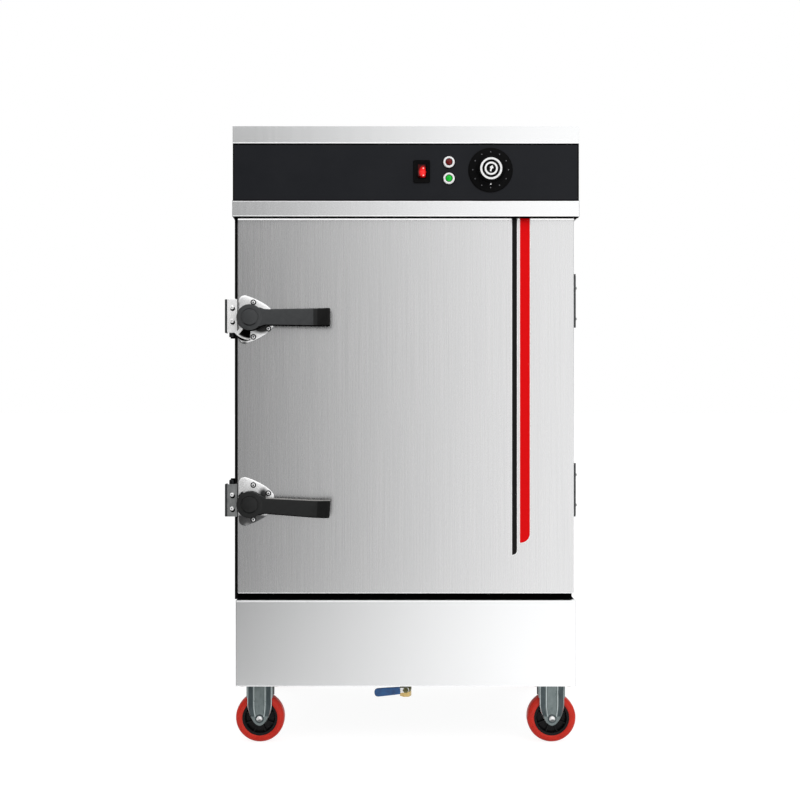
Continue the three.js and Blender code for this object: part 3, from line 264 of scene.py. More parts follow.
def finish_piece(name, form, slot, body, replaces=(), bevel=0.0, angle=32, look=None):
    """Makes an object of a bmesh, with its finish, its body and the nodes that it stands for."""
    bmesh.ops.recalc_face_normals(form, faces=form.faces)
    piece = make_object(name, form, materials[look or slot])
    piece.data.shade_smooth()
    piece.data.set_sharp_from_angle(angle=radians(angle))
    if bevel:
        round_edges(piece, bevel)
    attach(piece, body)
    if replaces:
        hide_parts(*replaces)
    return piece


def turned_piece(name, profile, centre, slot, body, replaces=(), axis="-y", steps=48, turn=0.0, **finish):
    """A piece made of one turned body."""
    form = add_turned(bmesh.new(), profile, centre, axis, steps, turn)
    return finish_piece(name, form, slot, body, replaces, **finish)


def slab_piece(name, outline, near, far, slot, body, replaces=(), plane="xz", **finish):
    """A piece made of one slab."""
    return finish_piece(name, add_slab(bmesh.new(), outline, near, far, plane), slot, body, replaces,
        **finish)


def round_edges(piece, width, segments=2, weld=False):
    """Rounds a piece's sharp edges; weld first joins the doubled points of a CAD node."""
    if weld:
        joined = piece.modifiers.new("weld", "WELD")
        joined.merge_threshold = 0.00001
    rounding = piece.modifiers.new("bevel", "BEVEL")
    rounding.width = width
    rounding.segments = segments
    rounding.limit_method = "ANGLE"
    rounding.angle_limit = radians(35)
    rounding.harden_normals = True


AXES = {
    "x": Matrix(((0, 0, 1), (0, 1, 0), (-1, 0, 0))),
    "-x": Matrix(((0, 0, -1), (0, 1, 0), (1, 0, 0))),
    "y": Matrix(((1, 0, 0), (0, 0, 1), (0, -1, 0))),
    "-y": Matrix(((1, 0, 0), (0, 0, -1), (0, 1, 0))),
    "z": Matrix.Identity(3),
}


def add_turned(target, profile, centre, axis="-y", steps=48, turn=0.0):
    """Adds a turned body: profile is (radius, place along the axis) from one pole to the other."""
    spin = AXES[axis]
    rings = []
    for radius, along in profile:
        if radius == 0:
            rings.append([target.verts.new(Vector(centre) + spin @ Vector((0, 0, along)))])
            continue
        ring = []
        for i in range(steps):
            a = 2 * pi * i / steps + turn
            spot = Vector((radius * cos(a), radius * sin(a), along))
            ring.append(target.verts.new(Vector(centre) + spin @ spot))
        rings.append(ring)
    pairs = list(zip(rings, rings[1:]))
    if profile[0][0] and profile[-1][0]:
        pairs.append((rings[-1], rings[0]))
    for first, second in pairs:
        for i in range(steps):
            j = (i + 1) % steps
            corners = [first[i % len(first)], first[j % len(first)], second[j % len(second)],
                second[i % len(second)]]
            unique = list(dict.fromkeys(corners))
            if len(unique) > 2:
                target.faces.new(unique)
    return target


def add_slab(target, outline, near, far, plane="xz"):
    """Adds a flat shape with thickness: outline in the plane, near and far along its normal."""
    def spot(u, v, w):
        return {"xz": (u, w, v), "xy": (u, v, w), "yz": (w, u, v)}[plane]

    loops = [[target.verts.new(spot(u, v, w)) for u, v in outline] for w in (near, far)]
    count = len(outline)
    for i in range(count):
        j = (i + 1) % count
        target.faces.new((loops[0][i], loops[0][j], loops[1][j], loops[1][i]))
    target.faces.new(loops[0])
    target.faces.new(loops[1])
    return target


def add_box(target, low, high):
    """Adds a rectangular block."""
    outline = [(low[0], low[2]), (high[0], low[2]), (high[0], high[2]), (low[0], high[2])]
    return add_slab(target, outline, low[1], high[1])


def add_skin(target, loops, open_start=False):
    """Adds a skin through loops of points that have as many points each, and closes its ends."""
    rings = [[target.verts.new(point) for point in loop] for loop in loops]
    for first, second in zip(rings, rings[1:]):
        for i in range(len(first)):
            j = (i + 1) % len(first)
            target.faces.new((first[i], first[j], second[j], second[i]))
    for ring in rings[-1:] if open_start else (rings[0], rings[-1]):
        target.faces.new(ring)
    return target


def mirrored(half):
    """A turned profile, from the half of it that ends at the middle plane."""
    return half + [(radius, -along) for radius, along in reversed(half)]


def rounded(left, right, bottom, top, radii, steps=6):
    """A rectangle's outline with rounded corners; radii run from the lower left, anticlockwise."""
    corners = ((left, bottom, 1, 1, 180), (right, bottom, -1, 1, 270), (right, top, -1, -1, 0),
        (left, top, 1, -1, 90))
    points = []
    for (x, z, sx, sz, start), radius in zip(corners, radii):
        if radius <= 0:
            points.append((x, z))
            continue
        for i in range(steps + 1):
            a = radians(start + 90 * i / steps)
            points.append((x + sx * radius + radius * cos(a), z + sz * radius + radius * sin(a)))
    return points


def curved(start, *curves):
    """Points from start along quadratic curves, each of them (control, end, steps)."""
    points = [start]
    for control, end, steps in curves:
        ends = list(zip(points[-1], control, end))
        for i in range(1, steps + 1):
            t = i / steps
            points.append(tuple((1 - t) ** 2 * s + 2 * t * (1 - t) * c + t * t * e for s, c, e in ends))
    return points


def screw(name, centre, radius, height, body, axis="-y", look="plated_casting", shadow_drop=0.0, ring=1.32,
        socket=(0.46, 0.17)):
    """A domed screw head with a cross in it, in a black ring: painted shade of its groove and its cross
    recess; the ring may lie lower than the head, so that it shows as a painted shadow under it.
    """
    foot, groove, rim, core = -height * 0.1, height * 0.2, radius * ring, radius * 0.3
    profile = [(0, height)]
    for i in range(1, 6):
        a = radians(90 - 18 * i)
        profile.append((radius * cos(a), height * sin(a)))
    turned_piece(name, profile + [(radius, foot), (0, foot)], centre, "bright_steel", body, axis=axis,
        steps=24, look=look)
    # The black ring and cross are painted shade; moved down and to the right, the ring shows a painted shadow
    # crescent under the head.
    shade = add_turned(bmesh.new(), [(core, foot), (core, groove), (rim, groove), (rim, foot)],
        Vector(centre) - Vector((-shadow_drop * 0.5, 0, shadow_drop)), axis, 24)
    arm, thin, raised = radius * socket[0], radius * socket[1], height * 1.01
    for u, v in ((arm, thin), (thin, arm)):
        corners = ((-u, -v), (u, -v), (u, v), (-u, v))
        for rise, loop in ((raised, corners), (raised - height * 0.1, corners[::-1])):
            shade.faces.new([shade.verts.new(Vector(centre) + AXES[axis] @ Vector((a, b, rise)))
                for a, b in loop])
    finish_piece(name + "_shade", shade, "bright_steel", body, look="black_and_painted_shade")


# Finishes of the CAD nodes
for entry in frame["record"]["subparts"]:
    node = nodes[entry["node"]]
    node.data.materials.clear()
    node.data.materials.append(materials[entry["material_slot"]])

SHEET_NODES = ("head_shell", "base_front_panel", "side_panel_left", "side_panel_right",
    "back_panel", "chassis_plate", "head_floor", "door_frame", "inner_liner", "door_inner_skin", "water_tank",
    "tray_rack_left", "tray_rack_right", "tray_1", "tray_2", "tray_3", "tray_4", "control_strip",
    "mouth_seal", "contactor")
for name in SHEET_NODES:
    round_edges(nodes[name], 0.0006, weld=True)


# Door
def door_edge():
    """The front edge in section: insets at the sides, bottom and top, and the depth behind the face."""
    fold, fall, turns = 0.0009, 0.0006, 3
    slopes = (0.0006, 0.0011, 0.0026)
    rows = []
    for i in range(turns + 1):
        a = radians(75 * i / turns)
        inset = fold * (1 - sin(a)) * 0.7
        rows.append((inset, inset, inset, fall + fold * (1 - cos(a))))
    rows.reverse()
    for flat in (0, 0.0005):
        rows.append((*[fold * 0.7 + slope + flat for slope in slopes], 0.0))
    return rows


def rounded_pan():
    """The door's outer skin: a folded pan with soft front edges; its top edge glows as a painted highlight
    and its left edges carry a flat grey painted highlight.
    """
    sheet = 0.0015

    def loop(side, bottom, top, y):
        outline = rounded(door_low.x + side, door_high.x - side, door_low.z + bottom, door_high.z - top,
            [max(0.002 - side, 0.0006)] * 4, 4)
        return [(u, y, v) for u, v in outline]

    loops = [loop(side, bottom, top, door_low.y + sunk) for side, bottom, top, sunk in reversed(door_edge())]
    loops += [loop(0, 0, 0, door_high.y), loop(sheet, sheet, sheet, door_high.y),
        loop(sheet, sheet, sheet, door_low.y + 2 * sheet)]
    skin = finish_piece("door_skin", add_skin(bmesh.new(), loops), "brushed_steel", "door",
        ["door_outer_skin"], angle=40)
    for look in ("bright_fold", "painted_glow_fold", "painted_highlight_fold"):
        skin.data.materials.append(materials[look])
    # Edge slopes by the way they face: the top one glows as a painted highlight, the left ones get a flat
    # grey painted highlight, the others bright folded steel.
    for face in skin.data.polygons:
        x, y, z = face.normal
        if y < -0.2 and max(abs(x), abs(z)) > 0.1:
            face.material_index = 2 if z > 0.1 else 3 if x < -0.1 else 1


def door_stripe(name, left, right, bottom, edge):
    """A printed stripe over the door's top edge, with a pale border and a round lower right corner."""
    face, width = door_low.y, right - left
    over = [(face + sunk, door_high.z - top) for _, _, top, sunk in door_edge()[1:]]
    for suffix, grow, raised, finish in (("_edge", edge, 0.00006, "white_edge"), ("", 0, 0.00012, name)):
        outline = rounded(left - grow, right + grow, bottom - grow, over[-1][1],
            (0, width * 0.92 + grow, 0, 0), 10)
        form = add_slab(bmesh.new(), outline, face - raised, face + 0.0001)
        section = [(y - raised, z + raised) for y, z in over]
        section += [(y + 0.0001, z - 0.0001) for y, z in reversed(over)]
        add_slab(form, section, left - grow, right + grow, "yz")
        finish_piece(name + suffix, form, "brushed_steel", "door", look=finish)


rounded_pan()
door_stripe("black_stripe", middle_x + 0.2157, middle_x + 0.2256, 0.3885, 0.0018)
door_stripe("red_stripe", middle_x + 0.2317, middle_x + 0.2517, 0.413, 0.0014)


# Latches: the hubs' heights, and 1 for the upper latch or -1 for the lower one, which is its mirror image
HUB_X = middle_x - 0.3135
HUBS = {"upper": (0.8685, 1), "lower": (0.4925, -1)}
DROOP = {"upper": 0.0, "lower": radians(3.6)}
PLATE_BACK, PLATE_FRONT = door_low.y - 0.0003, door_low.y - 0.0033
CAM_FRONT = door_low.y - 0.0086
HUB_BACK = door_low.y - 0.0089
LEVER_DEPTH, LEVER_LENGTH, LEVER_CURL = 0.024, 0.162, 0.042


def painted_light_plating(label, hub_z, hand):
    """Bright plating with a painted glow, and painted shade and painted reflections of the lever beside it;
    the lower plate has painted shade under its hub.
    """
    def spot(dx, dz, wide, high, core, tone):
        return (HUB_X + dx, PLATE_FRONT, hub_z + dz), (wide, 1, high), core, (tone, tone, tone * 1.01)

    spots = [spot(0.021, -0.0205, 0.023, 0.0128, 0.5, 0.012), spot(-0.014, -0.05, 0.009, 0.004, 0.2, 0.1)]
    if hand < 0:
        spots = [spot(0.0245, 0.0195, 0.0125, 0.0165, 0.4, 0.035), spot(0.0, -0.038, 0.06, 0.02, 0.75, 0.085),
            spot(-0.008, -0.043, 0.008, 0.006, 0.2, 0.3)]
    surface(f"painted_light_plating_{label}", 0.98, (0.9, 0.9, 0.905), (0.24, 0.32), 70, bump=0.03, spots=spots,
        shine=0.06, metal=0.35)


def latch_plate(label, hub_z, hand):
    """The plated leaf-shaped plate, slightly domed, with a rim and three screws."""
    middle = hub_z - (0.0027 if hand > 0 else -0.0044)
    left, right, corner, half = HUB_X - 0.0256, HUB_X + 0.0458, 0.014, 0.0493
    painted_light_plating(label, hub_z, hand)

    def leaf(inset, sunk):
        l, r, h, c = left + inset, right - inset, half - inset, corner - inset * 0.5
        points = curved((l, c - h), ((l, -h), (l + c, -h), 8), ((r - c, c - h), (r, -c), 8),
            ((r + 0.001, 0), (r, c), 4), ((r - c, h - c), (l + c, h), 8), ((l, h), (l, h - c), 8))
        return [(x, PLATE_FRONT + sunk, middle + z) for x, z in reversed(points)]

    dome = ((0, PLATE_BACK - PLATE_FRONT), (0, 0.0024), (0.0011, 0.0018), (0.0024, 0.0014), (0.005, 0.0009),
        (0.009, 0.0005), (0.014, 0.0002), (0.019, 0.00005))
    plate = finish_piece(f"leaf_plate_{label}", add_skin(bmesh.new(), [leaf(*step) for step in dome]),
        "bright_steel", "door", [f"latch_plate_{label}"], angle=50, look=f"painted_light_plating_{label}")
    # The lower half of the rim is painted dark as shade.
    plate.data.materials.append(materials["dark_zinc"])
    for face in plate.data.polygons:
        if face.center.z < hub_z and PLATE_FRONT + 0.0017 < face.center.y < PLATE_FRONT + 0.0023:
            face.material_index = 1
    for number, (dx, dz) in enumerate(((0.0045, 0.0322), (0.035, -0.0212), (0.0044, -0.0378)), 1):
        screw(f"plate_screw_{label}_{number}", (HUB_X + dx, PLATE_FRONT - 0.0001, hub_z + hand * dz), 0.0037,
            0.0015, "door", look="painted_glow_plating", ring=1.56, socket=(0.4, 0.3))


def arc_points(centre_z, hand, radius, first, last, steps=14, taper=0.0, swell=0.0):
    """Points about the hub's axis, degrees first to last, mirrored for the lower latch.

    The radius grows by taper along the arc, and by swell in its middle.
    """
    points = []
    for i in range(steps + 1):
        a = radians(first + (last - first) * i / steps)
        r = radius + taper * i / steps + swell * sin(pi * i / steps)
        points.append((HUB_X + r * cos(a), centre_z + hand * r * sin(a)))
    return points


def latch_cam(label, hub_z, hand):
    """The cam behind the hub: a disc on the spindle, a web painted black as shade and a bright hook with a
    painted glow that tapers to its end.

    Of the lower latch's cam only a nose in painted shade shows.
    """
    body = f"{label}_lever"
    back, disc_back, hub = CAM_FRONT + 0.003, CAM_FRONT + 0.005, [(HUB_X, hub_z)]

    def arc(*measures, **shape):
        return arc_points(hub_z, hand, *measures, **shape)

    if hand > 0:
        first, last = 222, 266
        outline = arc(0.0445, first, last) + arc(0.0408, first, last - 1, taper=0.0022)[::-1]
        form = add_slab(bmesh.new(), outline, CAM_FRONT, back)
        add_slab(form, hub + arc(0.0418, 223, 232, 1), CAM_FRONT + 0.0006, back)
        web = add_slab(bmesh.new(), hub + arc(0.0405, 234, last + 1), CAM_FRONT + 0.0022, back)
        # A black arc just beyond the hook: a painted shadow.
        rim = arc(0.0446, first + 2, last + 2, swell=0.0042) + arc(0.043, first + 2, last + 2)[::-1]
        add_slab(web, rim, CAM_FRONT + 0.0014, back)
        finish_piece(f"cam_web_in_painted_shade_{label}", web, "zinc_steel", body, look="black_and_painted_shade")
    else:
        form = add_slab(bmesh.new(), hub + arc(0.0305, 210, 236, 5), CAM_FRONT, back)
    # The upper hook glows as painted light, the lower one is painted near black as shade.
    hook = finish_piece(f"cam_hook_{label}", form, "bright_steel", body, bevel=0.0008,
        look="painted_glow_plating" if hand > 0 else "painted_shade_zinc")
    hook.modifiers["bevel"].segments = 3
    disc = add_turned(bmesh.new(), [(0, 0), (0.0235, 0), (0.024, 0.0005), (0.024, 0.0045), (0.0235, 0.005),
        (0, 0.005)], (HUB_X, disc_back, hub_z))
    add_turned(disc, [(0, -0.02), (0.006, -0.02), (0.006, 0.001), (0, 0.001)], (HUB_X, disc_back, hub_z),
        steps=24)
    finish_piece(f"cam_disc_{label}", disc, "zinc_steel", body, [f"latch_cam_{label}"])


def latch_lever(label, hub_z, droop):
    """The moulded lever: a round hub with a cap and an arm that widens and curls out at its end."""
    radius, depth, length, curl = 0.0266, LEVER_DEPTH, LEVER_LENGTH, LEVER_CURL
    profile = [(0, depth + 0.0013), (0.0152, depth + 0.0013), (0.0161, depth + 0.0006),
        (0.0163, depth - 0.0006), (0.0172, depth - 0.0006), (0.0176, depth), (0.0238, depth),
        (0.0257, depth - 0.0007), (radius, depth - 0.0027), (radius, 0.0008), (radius - 0.0008, 0), (0, 0)]
    form = add_turned(bmesh.new(), profile, (0, 0, 0), steps=72)
    reach, half_thick = 0.009, 0.005
    loops = []
    for x in (0.008, 0.022, 0.027, 0.032, 0.045, 0.08, 0.112, 0.12, 0.128, 0.136, 0.144, 0.151, 0.157, 0.1602,
            0.1616, 0.162):
        half = 0.016 + 0.0026 * x / length
        if x < 0.034:
            half += 0.007 * ((0.034 - x) / 0.012) ** 2 * 0.5 if x > 0.021 else 0.0043
        curled = max(0.0, (x - (length - curl)) / curl) ** 2
        lift = 0.0026 * curled if droop else 0.0
        end = max(0.0, x - 0.1585) / 0.0035
        shrink = 0.0026 * (1 - sqrt(max(0.0, 1 - end * end)))
        middle = -(depth - 0.0004) + half_thick - reach * curled
        outline = rounded(-(half_thick - shrink), half_thick - shrink, -(half - shrink), half - shrink,
            [0.0036 - shrink * 0.5, 0.0024, 0.0024, 0.0032 - shrink * 0.5], 4)
        loops.append([(x, middle + u, v + lift) for u, v in outline])
    add_skin(form, loops)
    turn = Matrix.Translation((HUB_X, HUB_BACK, hub_z)) @ Matrix.Rotation(droop, 4, "Y")
    bmesh.ops.transform(form, matrix=turn, verts=form.verts)
    lever = finish_piece(f"lever_{label}", form, "lever_nylon", f"{label}_lever", [f"latch_lever_{label}"],
        angle=38, look="nylon_painted_shade" if droop else "lever_nylon")
    for look in ("nylon_painted_deep_shade", "black_and_painted_shade", "nylon_painted_highlight", "nylon_painted_shade"):
        lever.data.materials.append(materials[look])
    arm_start, tip_start = HUB_X + radius + 0.004, HUB_X + length - curl * 0.8
    # Downward faces are painted black as shade, the curled tip is painted darker as shade, and the lower
    # lever is a painted-shade copy whose upper faces carry a painted highlight.
    for face in lever.data.polygons:
        if face.normal.z < -0.42:
            face.material_index = 2
        elif droop and face.normal.z > 0.3 and face.center.x > arm_start:
            face.material_index = 3
        elif face.center.x > tip_start:
            face.material_index = 1 if face.center.x > tip_start + 0.008 else 4


def strike(label, hub_z, hand):
    """The bent bracket on the cabinet's side, its roller and its screws."""
    low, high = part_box(f"strike_{label}")
    upper = hand > 0
    middle, half = hub_z + (0.0046 if upper else 0.0065), 0.0339 if upper else 0.0328
    thick, bend = 0.003, 0.0053
    right, back, web_right = low.x + 0.0255, low.y + 0.028, middle_x - 0.34325
    web_left = web_right - thick
    inner = low.y + thick
    bottom, top = middle - half, middle + half
    side = curved((low.x + bend, low.y), ((low.x, low.y), (low.x, low.y + bend), 6))
    side += [(low.x, back), (low.x + thick, back)]
    side += curved((low.x + thick, inner + 0.0015), ((low.x + thick, inner), (low.x + bend, inner), 3))
    # The bend, which faces the side, is painted dark as shade.
    slab_piece(f"strike_bend_{label}", side, bottom, top, "bright_steel", "root", [f"strike_{label}"], "xy",
        bevel=0.0004, look="shaded_zinc")
    face = [(low.x + bend, low.y), (right, low.y), (right, inner), (web_right, inner), (web_right, high.y),
        (web_left, high.y), (web_left, inner), (low.x + bend, inner)]
    # The face has a painted glow on the upper strike and is painted darker as shade on the lower one.
    slab_piece(f"strike_face_{label}", face, bottom, top, "bright_steel", "root", plane="xy", bevel=0.0005,
        look="painted_glow_plating" if upper else "zinc_steel")
    roller_x, roller_y = low.x + 0.0142, low.y + 0.014
    end = middle - hand * (half + 0.0085)
    start = middle + hand * (half - 0.003)
    lowest, length = min(start, end), abs(start - end)
    # The roller is painted near black as shade.
    turned_piece(f"strike_roller_{label}", [(0, 0), (0.0056, 0), (0.0066, 0.001), (0.0066, length - 0.0014),
        (0.0056, length), (0, length)], (roller_x, roller_y, lowest), "zinc_steel", "root", axis="z",
        steps=32, look="painted_shade_zinc")
    tip = end - hand * 0.0028
    turned_piece(f"strike_bolt_{label}", [(0, 0), (0.0046, 0), (0.0046, 0.003), (0, 0.003)],
        (roller_x + 0.001, roller_y, min(tip, tip + hand * 0.003)), "black_plastic", "root", axis="z",
        steps=6, look="black_and_painted_shade")
    for number, dz in enumerate((-0.0095, 0.0183) if upper else (-0.0158, 0.0122), 1):
        screw(f"strike_screw_{label}_{number}", (low.x + 0.0152, low.y - 0.0002, middle + dz - 0.0006),
            0.0042, 0.0022, "root", look="painted_glow_plating", shadow_drop=0.0028, ring=1.14, socket=(0.24, 0.1))


for label, (hub_z, hand) in HUBS.items():
    latch_plate(label, hub_z, hand)
    latch_cam(label, hub_z, hand)
    latch_lever(label, hub_z, DROOP[label])
    strike(label, hub_z, hand)


# Hinges
def hinge(label):
    """Two leaves painted dark as shade, with a rolled knuckle between them, and domed screws on both leaves.
    """
    for part in ("body", "door"):
        node = nodes[f"hinge_{part}_leaf_{label}"]
        round_edges(node, 0.0004, weld=True)
        node.data.materials[0] = materials["shaded_zinc"]
    low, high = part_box(f"hinge_body_leaf_{label}")
    leaf_low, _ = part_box(f"hinge_door_leaf_{label}")
    middle = (low.z + high.z) / 2
    leaf_face = 0.0022
    for number, dz in enumerate((-0.037, 0.0257) if label == "upper" else (-0.0307, 0.0311), 1):
        for part, x, y in (("door", leaf_low.x + leaf_face, leaf_low.y + 0.013),
                ("body", low.x + leaf_face, high.y - 0.013)):
            screw(f"hinge_{part}_screw_{label}_{number}", (x, y, middle + dz), 0.0054, 0.0054,
                "door" if part == "door" else "root", "x", look="zinc_steel", ring=1.5)


for label in ("upper", "lower"):
    hinge(label)


# Controls
def ring_mark(name, centre, inner, outer, body, look, raised=0.0003):
    """A flat ring that stands a little proud."""
    turned_piece(name, [(inner, 0), (inner, raised), (outer, raised), (outer, 0)], centre, "black_plastic",
        body, steps=64, look=look)


def timer_knob():
    """The timer's skirt with twelve marks, and its grip with two pale rings and a pointer."""
    low, high, x, z = box_middle("timer_knob")
    skirt = strip_low.y - 0.0006
    spindle = high.y - skirt
    tall = skirt - low.y
    slot, body = "black_plastic", "timer"
    grip = [(0, tall - 0.0012), (0.0215, tall - 0.0012), (0.0232, tall - 0.0002), (0.0245, tall - 0.0012),
        (0.0252, tall - 0.004), (0.0265, 0.0105), (0.0278, 0.0078), (0.0302, 0.0062), (0.0315, 0.004),
        (0, 0.004)]
    turned_piece("knob_grip", grip, (x, skirt, z), slot, body, ["timer_knob"], steps=96, angle=40,
        look="matt_black")
    rim = [(0, 0.0035), (0.03, 0.0052), (0.0325, 0.0045), (0.0425, 0.0028), (0.0444, 0.0018), (0.045, 0.0006),
        (0.045, 0), (0.0035, 0), (0.0035, -spindle), (0, -spindle)]
    turned_piece("knob_skirt", rim, (x, skirt, z), slot, body, steps=96, angle=40, look="matt_black")
    face = skirt - tall + 0.0012
    ring_mark("knob_ring_outer", (x, face, z), 0.018, 0.022, body, "white_print")
    ring_mark("knob_ring_inner", (x, face, z), 0.0096, 0.0132, body, "white_print")
    arrow = [(-0.0014, -0.0062), (0.0014, -0.0062), (0.0018, -0.0005), (0.0046, 0.0012), (0.0012, 0.0066),
        (-0.0034, 0.0022), (-0.0018, -0.0005)]
    c, s = cos(radians(12)), sin(radians(12))
    turned = [(x + u * c + v * s, z - u * s + v * c) for u, v in arrow]
    slab_piece("knob_pointer", turned, face - 0.0003, face, slot, body, look="white_print")
    radius, size, height = 0.0362, 0.0015, skirt - 0.0042
    for i in range(12):
        a = radians(90 + 30 * i)
        c, s = cos(a), sin(a)
        along, across = Vector((c, s)), Vector((-s, c))
        spot = Vector((x + radius * c, z + radius * s))
        foot = spot - along * size * 0.7
        mark = [(p.x, p.y) for p in (spot + along * size, foot + across * size, foot - across * size)]
        slab_piece(f"knob_mark_{i + 1}", mark, height - 0.0004, height + 0.0008, slot, body,
            look="grey_print")
    line = add_box(bmesh.new(), (x - 0.0014, skirt - 0.0076, z - 0.0305),
        (x + 0.0014, skirt - 0.0055, z - 0.0258))
    finish_piece("knob_zero_line", line, slot, body, look="white_print")


def lamp(name, lens_look):
    """An indicator lamp: a bright ring with a domed lens, and its barrel behind the strip."""
    low, high, x, z = box_middle(name)
    face = strip_low.y - 0.0003
    centre, proud, behind = (x, face, z), face - low.y, face - high.y
    ring = [(0.0074, -0.001), (0.0074, proud - 0.0022), (0.0082, proud - 0.0012), (0.0096, proud - 0.001),
        (0.0109, proud - 0.0018), (0.0115, proud - 0.0034), (0.0115, 0), (0.0098, -0.001)]
    turned_piece(f"{name}_ring", ring, centre, "bright_steel", "root", [name], look="lamp_ring")
    # A black ring round the bright ring: a painted shadow.
    ring_mark(f"{name}_gasket", centre, 0.0112, 0.0131, "root", "matt_black", 0.0006)
    barrel = [(0.0, 0.0), (0.0074, 0.0), (0.0074, behind + 0.001), (0.0068, behind), (0, behind)]
    turned_piece(f"{name}_barrel", barrel, centre, "black_plastic", "root", steps=32)
    ring_mark(f"{name}_well", (x, face - proud + 0.0029, z), 0.0061, 0.0075, "root", "black_plastic", 0.0006)
    dome = [(0, proud - 0.0003), (0.002, proud - 0.0005), (0.004, proud - 0.0011), (0.0058, proud - 0.0021),
        (0.0073, proud - 0.0036), (0.0073, 0.0002), (0, 0.0002)]
    turned_piece(f"{name}_lens", dome, centre, "red_lens" if "power" in name else "green_lens", "root",
        steps=40, look=lens_look)


def rocker_switch():
    """The switch's bezel, and its lit rocker in its pocket."""
    low, high, x, z = box_middle("switch_housing")
    face = low.y
    outer = rounded(low.x, high.x, low.z, high.z, [0.0035] * 4)
    pocket_x, pocket_z, aside = 0.00825, 0.0138, 0.0012
    inner = rounded(x + aside - pocket_x, x + aside + pocket_x, z - pocket_z, z + pocket_z, [0.0015] * 4)

    def shrink(points, amount):
        scale_x = 1 - amount / (max(p[0] for p in points) - x)
        scale_z = 1 - amount / (max(p[1] for p in points) - z)
        return [(x + (u - x) * scale_x, z + (v - z) * scale_z) for u, v in points]

    steps = ((outer, strip_low.y - 0.0003), (outer, face + 0.0012),
        (shrink(outer, 0.0012), face), (shrink(outer, 0.0034), face), (shrink(outer, 0.0042), face + 0.0006),
        (shrink(inner, -0.0006), face + 0.0006), (inner, face + 0.0012), (inner, face + 0.013))
    form = add_skin(bmesh.new(), [[(u, y, v) for u, v in points] for points, y in steps], True)
    body_x, body_z = 0.013, 0.019
    add_box(form, (x - body_x, face + 0.0135, z - body_z), (x + body_x, high.y, z + body_z))
    finish_piece("switch_bezel", form, "black_plastic", "root", ["switch_housing"], angle=40,
        look="matt_black")
    nodes["switch_rocker"].data.materials[0] = materials["lit_rocker"]
    round_edges(nodes["switch_rocker"], 0.0007, 3, weld=True)


HALF_TURN = [pi * i / 8 for i in range(9)]


def fold(name, z, radius, left, right):
    """A rounded fold along the cabinet's front."""
    outline = [(front_y - radius * sin(a), z - radius * cos(a)) for a in HALF_TURN]
    slab_piece(name, outline, left + 0.0006, right - 0.0006, "satin_steel", "root", plane="yz",
        look="bright_fold", angle=60)


def side_fold(name, x, outward, bottom, top):
    """A rounded fold up one end of a front panel."""
    radius = 0.0011
    outline = [(x + outward * (radius * sin(a) - 0.0001), front_y + radius - radius * cos(a))
        for a in HALF_TURN]
    slab_piece(name, outline, bottom, top, "satin_steel", "root", plane="xy", angle=60)


def front_folds():
    """The folded steel edges of the head and the base, the strip's border, and black strips of painted shade
    under the head's front edge and at its corners.
    """
    edge, wide = 0.0014, 0.0024
    for name, z, radius in (("strip_fold_top", strip_high.z + 0.0012, 0.0014), ("strip_fold_bottom",
            strip_low.z - edge - 0.0012, 0.0012), ("head_fold_bottom", head_low.z + 0.0013, 0.0011)):
        fold(name, z, radius, head_low.x, head_high.x)
    fold("base_fold_top", base_high.z - 0.0018, 0.0018, base_low.x, base_high.x)
    fold("base_fold_bottom", base_low.z + 0.0008, 0.0008, base_low.x, base_high.x)
    for side, outward, head_end, base_end in (("left", -1, head_low.x, base_low.x),
            ("right", 1, head_high.x, base_high.x)):
        side_fold(f"head_side_fold_{side}", head_end, outward, head_low.z, strip_low.z)
        side_fold(f"base_side_fold_{side}", base_end, outward, base_low.z, base_high.z)
    left, right, bottom, top = strip_low.x, strip_high.x, strip_low.z - edge, strip_high.z
    for side, x0, z0, x1, z1 in (("top", left, top - wide, right, top),
            ("bottom", left, bottom, right, bottom + wide), ("left", left, bottom, left + wide, top),
            ("right", right - wide, bottom, right, top)):
        form = add_box(bmesh.new(), (x0, front_y - 0.0002, z0), (x1, strip_low.y, z1))
        finish_piece(f"strip_border_{side}", form, "black_gloss", "root", look="black_and_painted_shade")
    # A black strip under the head's front edge: painted shade of the gap above the door.
    gap_shade = add_box(bmesh.new(), (head_low.x + 0.001, front_y - 0.0009, head_low.z - 0.0019),
        (head_high.x - 0.001, front_y + 0.008, head_low.z + 0.0001))
    finish_piece("head_gasket", gap_shade, "black_rubber", "root", look="black_and_painted_shade")
    # Black wedges at the head's corners: painted shade.
    for side, inner, reach, drop in (("left", door_low.x - 0.0006, 0.0078, 0.0095),
            ("right", door_high.x + 0.0004, -0.0062, 0.0035)):
        outline = [(inner, head_low.z - 0.0002), (inner - reach, head_low.z - 0.0002),
            (inner - reach * 0.72, head_low.z - drop * 0.5), (inner - reach * 0.5, head_low.z - drop),
            (inner, head_low.z - drop)]
        slab_piece(f"head_corner_shade_{side}", outline, door_low.y + 0.0004, door_low.y + 0.0012,
            "black_rubber", "root", look="black_and_painted_shade")


timer_knob()
lamp("power_lamp", "dim_red_lens")
lamp("work_lamp", "green_lens")
rocker_switch()
front_folds()


